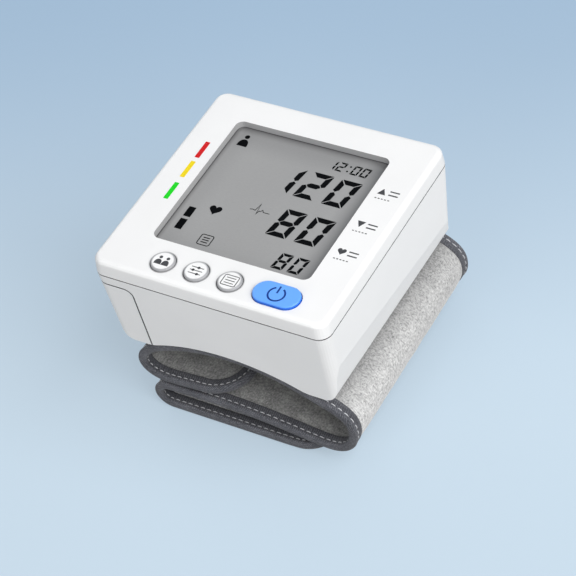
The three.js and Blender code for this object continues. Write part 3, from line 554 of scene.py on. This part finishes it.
def print_ink(name, light, dark):
    """Pad-printed ink, a little uneven where the pad lifted."""
    ink, wire = new_finish(name)
    place = wire.node("TexCoord", {}, {}, "Object")
    lift = wire.node("TexNoise", {}, {"Vector": place, "Scale": 1500.0, "Detail": 3.0})
    coat(wire, {
        "Base Color": lift.smooth(0.3, 0.75).mix(dark, light),
        "Roughness": 0.45 + 0.15 * lift,
        "Specular IOR Level": 0.25,
        "Normal": wire.node("Bump", {}, {"Strength": 0.15, "Distance": 0.00001, "Height": lift}),
    })
    return ink


grey_ink = print_ink("grey_ink", rgb(74, 74, 76), rgb(58, 58, 60))
blue_ink = print_ink("blue_ink", rgb(16, 64, 146), rgb(10, 50, 122))
print_depth = 0.00002
fine_line, bold_line = 0.24, 0.5
sliders = ((0.8, -1.1), (-0.9, 0), (0.3, 1.1))
ring_x, ring_y, ring_radius, half_gap, bar_x = 18.95, row_y - 0.2, 2.3, 0.5, 18.85
open_ring = [(ring_x + ring_radius * math.sin(a), ring_y + ring_radius * math.cos(a))
             for a in np.linspace(half_gap, 2 * math.pi - half_gap, 40)]
signs = {
    "user": person(-16.8, row_y, 2.9) + person(-14.6, row_y, 2.9),
    "set": [stroke([(-7.3, row_y + y), (-3.6, row_y + y)], fine_line) for _, y in sliders]
    + [disc(round_x[1] + x, row_y + y, 0.42, 16) for x, y in sliders],
    "memory": [stroke([(3.5, row_y + y), (6.3, row_y + y)], fine_line) for y in (-0.9, 0, 0.9)]
    + [stroke(rounded_box(4.9, row_y, 2.1, 1.75, 0.4), fine_line, True)],
    "start": [stroke(open_ring, bold_line),
              stroke([(bar_x, row_y + 0.15), (bar_x, row_y + 2.6)], bold_line)],
}
for button, sign in signs.items():
    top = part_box(button + "_button")[1].z
    ink = blue_ink if button == "start" else grey_ink
    mark = inlay(button + "_sign", sign, top - print_depth, top + print_depth, ink)
    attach(mark, button + "_button_body")
    "start_button_blue" if button == "start" else button + "_button_white"

# Lid: the white display face with the window, moulded with a finer grain than the lower case.
# Level bars in three colours are printed on the left, and signs for the three readings on the right.
lid_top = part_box("lid")[1].z
well_rim, well_shade = 0.0041, 0.0036


def lid_shade(wire, place):
    """Painted shade on the rim and tongue over the lower case, on the window's walls, and in rings round the
    buttons' wells.
    """
    high = wire.node("SeparateXYZ", {}, {0: place}, "Z")
    rim = high < case_rim + 2 * joint_half + hair
    middle = wire.node("VectorMath", {"operation": "SUBTRACT"}, {0: place, 1: (0, window_y / 1000, 0)})
    spread = wire.node("VectorMath", {"operation": "ABSOLUTE"}, {0: middle})
    east = wire.node("SeparateXYZ", {}, {0: spread}, "X")
    north = wire.node("SeparateXYZ", {}, {0: spread}, "Y")
    reach = window_half + hair
    wall = (east < reach) * (north < reach) * (high < lid_top - hair)
    wear_and_shade = rim + 0.62 * wall
    for x in round_x:
        well = (x / 1000, row_y / 1000, lid_top)
        away = wire.node("VectorMath", {"operation": "SUBTRACT"}, {0: place, 1: well})
        ring = wire.node("VectorMath", {"operation": "LENGTH"}, {0: away}, "Value")
        wear_and_shade = wear_and_shade + 0.6 * ring.smooth(well_rim, well_shade)
    return wear_and_shade, joint_shade_grey


# Painted shade: the lid's white is set a little darker than the lower case's, since its top faces the key
# lamp.
dress(moulded("lid_plastic", rgb(240, 240, 240), 0.38, 0.000015, lid_shade), "lid")


def lid_print(name, shapes, finish):
    mark = inlay(name, shapes, lid_top - print_depth, lid_top + print_depth, finish)
    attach(mark, "housing")


level_x, level_half_x, level_half_y, level_corner = -27.78, 0.72, 3.27, 0.15
levels = (
    ("level_red", rgb(214, 4, 14), rgb(196, 2, 10), 9.95),
    ("level_yellow", rgb(244, 220, 20), rgb(230, 204, 10), 1.85),
    ("level_green", rgb(14, 220, 26), rgb(8, 200, 18), -7.0),
)
for name, light, dark, y in levels:
    bar = patch(rounded_box(level_x, window_y + y, level_half_x, level_half_y, level_corner, 2))
    lid_print(name, [bar], print_ink(name + "_ink", light, dark))

legend = []
sign_x, sign_half, sign_height = 27.2, 1.2, 2.2
dash_x, dash_pitch, dash_length, dash_drop = 26.1, 0.95, 0.55, 1.55
for high, sign in ((13.2, "up"), (0.3, "down"), (-10.4, "heart")):
    top, foot = window_y + high, window_y + high - sign_height
    if sign == "heart":
        legend.append(heart(sign_x, (top + foot) / 2, 2.5, 2.3))
    else:
        base, tip = (foot, top) if sign == "up" else (top, foot)
        legend.append(patch([(sign_x - sign_half, base), (sign_x + sign_half, base), (sign_x, tip)]))
    legend += [stroke([(29.2, y), (32.0, y)], 0.42) for y in (top - 0.45, foot + 0.45)]
    starts = [dash_x + dash_pitch * k for k in range(5)]
    legend += [stroke([(x, foot - dash_drop), (x + dash_length, foot - dash_drop)], 0.3) for x in starts]
lid_print("reading_signs", legend, grey_ink)

# Screws: four pan-head tapping screws of zinc-plated steel, driven from below through the lower case
# and the board into the lid's bosses. Their heads lie sunk in the underside.
dress(plated("screw_steel", rgb(176, 178, 180), 0.32, (1500, 1500, 1500)),
      "screw_right_front", "screw_right_back", "screw_left_front", "screw_left_back")

# Air bladder: two silicone sheets welded round their rim, between felt and lining under the housing,
# with a port that goes up through the felt into the manifold. The whole strip follows one path.
half_width, behind, length_step = 34.6, 1.4, 0.25
flap_x, flap_z, flap_slope = -21.5, 12.3, 0.07
saddle_half, saddle_radius, saddle_z = 21.5, 53.4, -22.8
turn_x, turn_z, dip_x, dip_z = 35.9, 14.5, 27.5, 5.7
fold_x, fold_radius, tail_z = -23.8, 3.7, 1.35
tail_turn_x, tail_end_x, tail_rise, ply_gap = 12, 27, 1.4, 0.1
flap_reach, left_reach, right_reach = 10.1, 13.9, 10.5
turn_up_reach, turn_down_reach, dip_reach, long_reach = 6, 5, 5, 9
crest_reach, crest_rise = 31.9, 1.45


def bezier(a, b, c, d, steps=80):
    k = np.linspace(0, 1, steps, endpoint=False)[:, None]
    a, b, c, d = (np.array(p, float) for p in (a, b, c, d))
    return (1 - k) ** 3 * a + 3 * k * (1 - k) ** 2 * b + 3 * k ** 2 * (1 - k) * c + k ** 3 * d


def arc(x, z, radius, start, stop, steps=80):
    turn = np.linspace(start, stop, steps, endpoint=False)[:, None]
    return np.array([x, z]) + radius * np.hstack([np.cos(turn), np.sin(turn)])


saddle = math.acos(saddle_half / saddle_radius)
end_z = saddle_z + saddle_radius * math.sin(saddle)
fall_x, fall_z = math.sin(saddle), math.cos(saddle)
fold_top = tail_z + 2 * fold_radius
tail_third = (tail_end_x - tail_turn_x) / 3
route = np.concatenate([
    np.linspace((0, flap_z - flap_slope * flap_x), (flap_x, flap_z), 60, endpoint=False),
    bezier((flap_x, flap_z),
           (flap_x - flap_reach, flap_z - flap_slope * flap_reach),
           (-saddle_half - left_reach * fall_x, end_z - left_reach * fall_z),
           (-saddle_half, end_z)),
    arc(0, saddle_z, saddle_radius, math.pi - saddle, saddle),
    bezier((saddle_half, end_z),
           (saddle_half + right_reach * fall_x, end_z - right_reach * fall_z),
           (turn_x, turn_z + turn_up_reach),
           (turn_x, turn_z)),
    bezier((turn_x, turn_z), (turn_x, turn_z - turn_down_reach), (dip_x + dip_reach, dip_z), (dip_x, dip_z)),
    bezier((dip_x, dip_z),
           (dip_x - long_reach, dip_z),
           (fold_x + crest_reach, fold_top + crest_rise),
           (fold_x + ply_gap, fold_top)),
    arc(fold_x, tail_z + fold_radius, fold_radius, math.pi / 2, 3 * math.pi / 2),
    np.linspace((fold_x + ply_gap, tail_z), (tail_turn_x, tail_z), 60, endpoint=False),
    bezier((tail_turn_x, tail_z),
           (tail_turn_x + tail_third, tail_z),
           (tail_end_x - tail_third, tail_z + tail_rise / 3),
           (tail_end_x, tail_z + tail_rise)),
    [(tail_end_x, tail_z + tail_rise)],
])
steps = np.concatenate([[0], np.cumsum(np.linalg.norm(np.diff(route, axis=0), axis=1))])
length = steps[-1]
run = np.linspace(0, length, int(length / length_step))
path = np.stack([np.interp(run, steps, route[:, k]) for k in (0, 1)], 1)
ahead = np.gradient(path, axis=0)
ahead /= np.linalg.norm(ahead, axis=1, keepdims=True)
outward = np.stack([-ahead[:, 1], ahead[:, 0]], 1)


def lay(s, y, out):
    """Points in metres on the strip, so far along it, across it, and out of its middle to the felt."""
    x, z = (np.interp(s, run, path[:, k]) + np.interp(s, run, outward[:, k]) * out for k in (0, 1))
    return np.stack(np.broadcast_arrays(x, y + behind, z), -1).reshape(-1, 3) / 1000


def grid_faces(rows, columns, start=0, wrap=False):
    faces = []
    for r in range(rows - 1):
        for c in range(columns if wrap else columns - 1):
            a, b = start + r * columns + c, start + r * columns + (c + 1) % columns
            faces.append([a, b, b + columns, a + columns])
    return faces


def unfold(piece, flat):
    """Gives each corner of a mesh its place on the flat cloth, which the weaves follow."""
    layer = piece.data.uv_layers.new(name="cloth")
    corners = np.zeros(len(piece.data.loops), int)
    piece.data.loops.foreach_get("vertex_index", corners)
    layer.data.foreach_set("uv", flat[corners].ravel())


def closed_sheet(name, s, y, front, back, finish):
    """A thin closed sheet on the strip, from grids of places along, across and out of it."""
    rows, columns = s.shape
    points = np.concatenate([lay(s, y, front), lay(s, y, back)])
    count = rows * columns
    faces = grid_faces(rows, columns)
    faces += [[k + count for k in face[::-1]] for face in grid_faces(rows, columns)]
    rim = list(range(columns)) + [r * columns + columns - 1 for r in range(1, rows)]
    rim += [(rows - 1) * columns + c for c in range(columns - 2, -1, -1)]
    rim += [r * columns for r in range(rows - 2, 0, -1)]
    faces += [[b, a, a + count, b + count] for a, b in zip(rim, rim[1:] + rim[:1])]
    piece = shape_mesh(name, points, faces, finish)
    unfold(piece, np.concatenate([np.stack([s, y], -1).reshape(-1, 2)] * 2) / 1000)
    return piece


crest = float(run[np.argmax(path[:, 1])])
half_along, half_across, weld_half, fullness, round_off = 20, 25, 0.06, 0.14, 2.5
spread = np.linspace(-1, 1, 41)
s, y = np.meshgrid(crest + half_along * spread, half_across * spread, indexing="ij")
rim_gap = np.minimum(half_along - np.abs(s - crest), half_across - np.abs(y))
swell = weld_half + fullness * np.clip(rim_gap / round_off, 0, 1) ** 0.5
bladder = closed_sheet("bladder", s, y, swell, -swell, silicone)
port_x, port_y, port_top = 6, 20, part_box("air_bladder")[1].z * 1000
port_foot = saddle_z + math.sqrt(saddle_radius ** 2 - port_x ** 2)
profile = ((0.7, port_foot), (0.7, port_top - 0.1), (0.8, port_top), (1.2, port_top), (1.3, port_top - 0.1),
           (1.3, port_foot + 1.0), (1.6, port_foot + 0.3), (2.6, port_foot))
turn = np.linspace(0, 2 * math.pi, 28, endpoint=False)
round_port = np.stack([np.cos(turn), np.sin(turn), 0 * turn], 1)
points = [np.array([port_x, port_y, z]) + radius * spot for radius, z in profile for spot in round_port]
faces = grid_faces(len(profile), len(turn), wrap=True)
last = (len(profile) - 1) * len(turn)
for k in range(len(turn)):
    after = (k + 1) % len(turn)
    faces.append([last + k, last + after, after, k])
port = shape_mesh("bladder_port", np.array(points) / 1000, faces, silicone)
for piece in (bladder, port):
    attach(piece, "housing")
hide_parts("air_bladder")

# Cuff lining: a dark heathered weave on the wrist's side, cut to the strip's outline with rounded ends.
# It is laid over the bladder and caught with the felt in the binding.
flap_corner, tail_corner, tape_width, pressed_width = 11.0, 10.0, 3.6, 3.0
cloth_inset, core_half = 1.2, 0.3


def cloth_half(s, inset):
    """Half the cloth's width at a place along it, inside the outline by an inset."""
    half = np.full(np.shape(s), half_width - inset)
    for corner, reach in ((flap_corner, s), (tail_corner, length - s)):
        short = np.clip(corner - reach, 0, corner - inset)
        half = np.minimum(half, half_width - corner + np.sqrt((corner - inset) ** 2 - short ** 2))
    return half


def cloth_grid(rows, columns):
    """Places along and across the cloth, and how far each is free of the tape that presses it down."""
    s = np.repeat(np.linspace(cloth_inset, length - cloth_inset, rows)[:, None], columns, 1)
    y = cloth_half(s, cloth_inset) * np.linspace(-1, 1, columns)[None, :]
    free = np.minimum(np.minimum(cloth_half(s, 0.0) - np.abs(y), s), length - s) - tape_width
    return s, y, np.clip(free / pressed_width, 0, 1)


def ripple(s, y, scale, seed):
    """Smooth unevenness of hand-laid cloth, about -0.5 to 0.5."""
    spots = zip(s.ravel() * scale, y.ravel() * scale)
    return np.array([noise.noise(Vector((a, b, seed))) for a, b in spots]).reshape(s.shape)


weave, wire = new_finish("lining_weave")
flat = wire.node("UVMap", {"uv_map": "cloth"}, {})
yarns = {"Vector": flat, "Scale": 700.0, "Distortion": 1.5, "Detail": 2.0, "Detail Scale": 2.0}
warp = wire.node("TexWave", {"bands_direction": "X"}, yarns)
weft = wire.node("TexWave", {"bands_direction": "Y"}, yarns)
drawn = wire.node("VectorMath", {"operation": "MULTIPLY"}, {0: flat, 1: (2000, 1000, 1)})
slub = wire.node("TexNoise", {}, {"Vector": drawn, "Scale": 1.0, "Detail": 4.0})
heather = wire.node("TexNoise", {}, {"Vector": flat, "Scale": 1700.0, "Detail": 5.0, "Roughness": 0.7})
patchy = wire.node("TexNoise", {}, {"Vector": flat, "Scale": 260.0, "Detail": 3.0})
relief = warp * weft * 0.6 + heather * 0.7
tone = heather * 0.48 + slub * 0.3 + patchy * 0.22
coat(wire, {
    "Base Color": wire.node("ValToRGB", {"stops": [(0.37, rgb(100, 100, 100)), (0.5, rgb(146, 146, 145)),
                                                   (0.63, rgb(192, 192, 190))]}, {"Fac": tone}),
    "Roughness": 0.9,
    "Sheen Weight": 0.3,
    "Sheen Roughness": 0.5,
    "Specular IOR Level": 0.2,
    "Normal": wire.node("Bump", {}, {"Strength": 0.7, "Distance": 0.00012, "Height": relief}),
})
s, y, free = cloth_grid(220, 44)
puff = 0.85 + 0.12 * free + 0.10 * free * ripple(s, y, 0.16, 3.0)
lining = closed_sheet("lining", s, y, np.full(s.shape, -core_half), -puff, weave)
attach(lining, "housing")
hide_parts("cuff_lining", "tail_lining")

# Cuff felt: a brushed light grey loop felt on the outside, which the hook pad grips. It stands up beside
# the tape that presses its edges down. Its colour holds painted shade and light: darker under the housing's
# seat and towards the back, and lighter away from the seat and towards the front.
pile, wire = new_finish("brushed_felt")
flat = wire.node("UVMap", {"uv_map": "cloth"}, {})
swirl = wire.node("TexNoise", {}, {"Vector": flat, "Scale": 420.0, "Detail": 3.0}, 1)
bent = wire.node("VectorMath", {"operation": "MULTIPLY_ADD"}, {0: swirl, 1: (0.0016, 0.0016, 0), 2: flat})
along = wire.node("VectorMath", {"operation": "MULTIPLY"}, {0: bent, 1: (950, 2700, 1)})
strand = wire.node("TexNoise", {}, {"Vector": along, "Scale": 1.0, "Detail": 5.0, "Roughness": 0.65})
crosswise = wire.node("VectorMath", {"operation": "MULTIPLY"}, {0: bent, 1: (2500, 1050, 1)})
cross = wire.node("TexNoise", {}, {"Vector": crosswise, "Scale": 1.0, "Detail": 5.0, "Roughness": 0.65})
clump = wire.node("TexNoise", {}, {"Vector": flat, "Scale": 300.0, "Detail": 4.0})
tone = strand * 0.47 + cross * 0.4 + clump * 0.13
shaded = wire.node("ValToRGB", {"stops": [(0.4, rgb(130, 130, 130)), (0.5, rgb(173, 173, 173)),
                                          (0.6, rgb(200, 200, 199))]}, {"Fac": tone})
fleck = wire.node("TexNoise", {}, {"Vector": bent, "Scale": 1500.0, "Detail": 2.0}).smooth(0.57, 0.68)
# Painted shade and light: the felt's colour is scaled darker under the seat and towards the back, lighter
# away from it.
from_seat = wire.node("SeparateXYZ", {}, {0: flat}, "X") - crest / 1000
to_back = wire.node("SeparateXYZ", {}, {0: flat}, "Y")
seat_end, light_full, left_share = 0.028, 0.0465, 1.22
seat_shade_tone, light_gain, back_loss = 0.58, 1.1, 3.0
clear = from_seat.math("MAXIMUM", from_seat, -left_share * from_seat)
painted_light_gain = (seat_shade_tone + light_gain * clear.smooth(seat_end, light_full)) * (1.0 - back_loss * to_back)
painted_felt = wire.node("VectorMath", {"operation": "SCALE"}, {0: shaded, "Scale": painted_light_gain})
coat(wire, {
    "Base Color": (0.32 * fleck).mix(painted_felt, rgb(98, 98, 99)),
    "Roughness": 0.95,
    "Sheen Weight": 0.8,
    "Sheen Roughness": 0.35,
    "Specular IOR Level": 0.15,
    "Normal": wire.node("Bump", {}, {"Strength": 0.8, "Distance": 0.00016, "Height": tone}),
})
s, y, free = cloth_grid(300, 60)
puff = 0.9 + 0.28 * free ** 0.6 + free * (0.12 * ripple(s, y, 0.22, 7.0) + 0.06 * ripple(s, y, 0.9, 11.0))
felt = closed_sheet("felt", s, y, puff, np.full(s.shape, core_half), pile)
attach(felt, "housing")
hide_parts("cuff_felt", "cuff_fold", "tail_felt")

# Binding: a slate twill tape folded over the strip's edge all round and sewn through with one line of
# pale thread. The seam draws the tape in, so its outer half stands up as a bead.
side_steps, corner_steps, end_steps = 330, 24, 60
tape_path, tape_in = [], []
for corner, middle_s, start in ((tail_corner, length - tail_corner, 90), (flap_corner, flap_corner, 270)):
    side = 1 if start == 90 else -1
    far = flap_corner if side == 1 else length - tail_corner
    for k in np.linspace(0, 1, side_steps, endpoint=False):
        tape_path.append((far + (middle_s - far) * k, side * half_width))
        tape_in.append((0, -side))
    for sign in (1, -1):
        mid_y = side * sign * (half_width - corner)
        quarter = np.linspace(start, start - 90, corner_steps, endpoint=False) - (0 if sign == 1 else 90)
        for a in np.radians(quarter):
            tape_path.append((middle_s + corner * math.cos(a), mid_y + corner * math.sin(a)))
            tape_in.append((-math.cos(a), -math.sin(a)))
        if sign == 1:
            for k in np.linspace(0, 1, end_steps, endpoint=False):
                tape_path.append((middle_s + side * corner, mid_y * (1 - 2 * k)))
                tape_in.append((-side, 0))
tape_path, tape_in = np.array(tape_path), np.array(tape_in)
tape_steps = np.linalg.norm(np.diff(tape_path, axis=0, append=tape_path[:1]), axis=1)
tape_run = np.concatenate([[0], np.cumsum(tape_steps)])
seam_in, seam_pitch, seam_reach, seam_pull = 1.5, 2.05, 0.8, 0.03
face = [(3.6, 0.93), (3.58, 1.06), (3.3, 1.15), (2.6, 1.18), (2.0, 1.14), (1.7, 1.04), (1.5, 1.0),
        (1.3, 1.06), (1.0, 1.26), (0.6, 1.32), (0.28, 1.16), (0.08, 0.72), (0.0, 0.25)]
inside = [(3.4, -0.92), (0.6, -0.9), (0.35, 0.0), (0.6, 0.9), (3.4, 0.92)]
section = np.array(face + [(depth, -out) for depth, out in face[::-1]] + inside)
around = np.concatenate([[0], np.cumsum(np.linalg.norm(np.diff(section, axis=0), axis=1))])
count = len(section)
s = tape_path[:, :1] + tape_in[:, :1] * section[None, :, 0]
y = tape_path[:, 1:] + tape_in[:, 1:] * section[None, :, 0]
by_seam = np.exp(-((section[None, :, 0] - seam_in) / seam_reach) ** 2)
pull = np.cos(2 * math.pi * tape_run[:-1, None] / seam_pitch) * by_seam
out = section[None, :, 1] * (1 + seam_pull * pull)
points = lay(s, y, out)
faces = grid_faces(len(tape_path), count, wrap=True)
last = (len(tape_path) - 1) * count
faces += [[last + c, last + (c + 1) % count, (c + 1) % count, c] for c in range(count)]

tape, wire = new_finish("binding_twill")
flat = wire.node("UVMap", {"uv_map": "cloth"}, {})
across = wire.node("SeparateXYZ", {}, {0: flat}, "Y")
ridges = {"Vector": flat, "Scale": 980.0, "Distortion": 1.2, "Detail": 2.0}
twill = wire.node("TexWave", {"bands_direction": "DIAGONAL"}, ridges)
rib = wire.node("TexWave", {"bands_direction": "X"}, {"Vector": flat, "Scale": 1300.0, "Distortion": 0.6})
spun = wire.node("VectorMath", {"operation": "MULTIPLY"}, {0: flat, 1: (900, 3200, 1)})
yarn = wire.node("TexNoise", {}, {"Vector": spun, "Scale": 1.0, "Detail": 4.0})
faded = wire.node("TexNoise", {}, {"Vector": flat, "Scale": 1900.0, "Detail": 5.0, "Roughness": 0.75})
wear_and_shade = wire.node("TexNoise", {}, {"Vector": flat, "Scale": 130.0, "Detail": 3.0})
tone = faded * 0.42 + yarn * 0.26 + twill * 0.17 + wear_and_shade * 0.15
dyed = wire.node("ValToRGB", {"stops": [(0.36, rgb(52, 53, 58)), (0.5, rgb(83, 84, 90)),
                                        (0.66, rgb(138, 139, 145))]}, {"Fac": tone})
relief = twill * 0.7 + rib * 0.2 + faded * 0.6
# Painted shade: the tape's inner parts, away from its folded edge, are coloured darker.
from_turn = across - around[len(face) - 1] / 1000
inner_shade = from_turn.math("ABSOLUTE", from_turn).smooth(0.0022, 0.0027)
coat(wire, {
    "Base Color": (0.24 * inner_shade).mix(dyed, rgb(36, 36, 40)),
    "Roughness": 0.88,
    "Sheen Weight": 0.2,
    "Sheen Roughness": 0.5,
    "Specular IOR Level": 0.2,
    "Normal": wire.node("Bump", {}, {"Strength": 0.7, "Distance": 0.00012, "Height": relief}),
})
binding = shape_mesh("binding", points, faces, tape)
flat = np.stack(np.broadcast_arrays(tape_run[:-1, None], around[None, :]), -1)
unfold(binding, flat.reshape(-1, 2) / 1000)
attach(binding, "housing")
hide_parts("cuff_binding", "tail_binding")

thread, wire = new_finish("seam_thread")
flat = wire.node("TexCoord", {}, {}, "Object")
ply = wire.node("TexNoise", {}, {"Vector": flat, "Scale": 3800.0, "Detail": 2.0})
coat(wire, {
    "Base Color": ply.mix(rgb(172, 173, 177), rgb(206, 207, 210)),
    "Roughness": 0.75,
    "Sheen Weight": 0.2,
    "Normal": wire.node("Bump", {}, {"Strength": 0.5, "Distance": 0.00005, "Height": ply}),
})
total = tape_run[-1]
stitches = int(total / seam_pitch)
points, faces = [], []
stitch_half, stitch_rise = 0.7, (0.96, 1.13, 1.17, 1.13, 0.96)
thread_half, thread_end = 0.00015, 0.00008
ring, rounds = 6, len(stitch_rise)
seam_path = tape_path + seam_in * tape_in
seam_path = np.concatenate([seam_path, seam_path[:1]])
for k in range(stitches):
    spots = (k * total / stitches + np.linspace(-stitch_half, stitch_half, rounds)) % total
    s, y = (np.interp(spots, tape_run, seam_path[:, c]) for c in (0, 1))
    for side in (1, -1):
        rise = np.array(stitch_rise) * side
        line = lay(s, y, rise)
        lift = lay(s, y, rise + side) - line
        lift /= np.linalg.norm(lift, axis=1, keepdims=True)
        along = np.gradient(line, axis=0)
        sideways = np.cross(along, lift)
        sideways /= np.linalg.norm(sideways, axis=1, keepdims=True)
        base = len(points)
        for r in range(rounds):
            thick = thread_half if 0 < r < rounds - 1 else thread_end
            for c in range(ring):
                a = 2 * math.pi * c / ring
                points.append(line[r] + thick * (math.cos(a) * sideways[r] + 0.8 * math.sin(a) * lift[r]))
        faces += grid_faces(rounds, ring, base, True)
        faces.append([base + c for c in range(ring)][::-1])
        faces.append([base + (rounds - 1) * ring + c for c in range(ring)])
seam = shape_mesh("stitching", points, faces, thread)
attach(seam, "housing")

# Hook pad: a woven strip with rows of small nylon hooks, sewn to the lining at the strip's end, where it
# faces the table while the end is folded under.
pad_low, pad_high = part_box("hook_pad")
nylon, wire = new_finish("hook_nylon")
place = wire.node("TexCoord", {}, {}, "Object")
ground = wire.node("TexBrick", {}, {"Vector": place, "Scale": 900.0}, 1)
speck = wire.node("TexNoise", {}, {"Vector": place, "Scale": 1400.0, "Detail": 3.0})
coat(wire, {
    "Base Color": speck.mix(rgb(48, 49, 54), rgb(74, 75, 81)),
    "Roughness": 0.55 + 0.2 * speck,
    "Normal": wire.node("Bump", {}, {"Strength": 0.5, "Distance": 0.00006, "Height": ground}),
})
outline = rounded_box((pad_low.x + pad_high.x) * 500, (pad_low.y + pad_high.y) * 500,
                      (pad_high.x - pad_low.x) * 500, (pad_high.y - pad_low.y) * 500, 1.5)
strip_depth, hook_root, hook_stem = 0.00017, 0.00016, 0.00012
hook_pitch, hook_lean, first_hook, last_hook = 0.0011, 0.0003, 0.001, 0.0006
pad = inlay("hook_strip", [patch(outline)], pad_high.z - strip_depth, pad_high.z, nylon)
points, faces = [], []
root_z = pad_high.z - hook_root
stages = ((root_z, 0.0, 0.00013), (root_z - hook_stem, 0.1, 0.0001), (pad_low.z, 0.7, 0.00009))
for i, x in enumerate(np.arange(pad_low.x + first_hook, pad_high.x - last_hook, hook_pitch)):
    for j, y in enumerate(np.arange(pad_low.y + first_hook, pad_high.y - last_hook, hook_pitch)):
        lean = hook_lean if (i + j) % 2 else -hook_lean
        start = len(points)
        for z, shift, half in stages:
            for a, b in ((-1, -1), (1, -1), (1, 1), (-1, 1)):
                points.append((x + shift * lean + a * half, y + b * half, z))
        faces += [face[::-1] for face in grid_faces(3, 4, start, True)]
        faces += [[start + c for c in range(4)], [start + 8 + c for c in range(4)][::-1]]
hooks = shape_mesh("hooks", points, faces, nylon)
for piece in (pad, hooks):
    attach(piece, "housing")
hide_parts("hook_pad")
flat = (2 * (half_width - cloth_inset) / 1000, length / 1000)
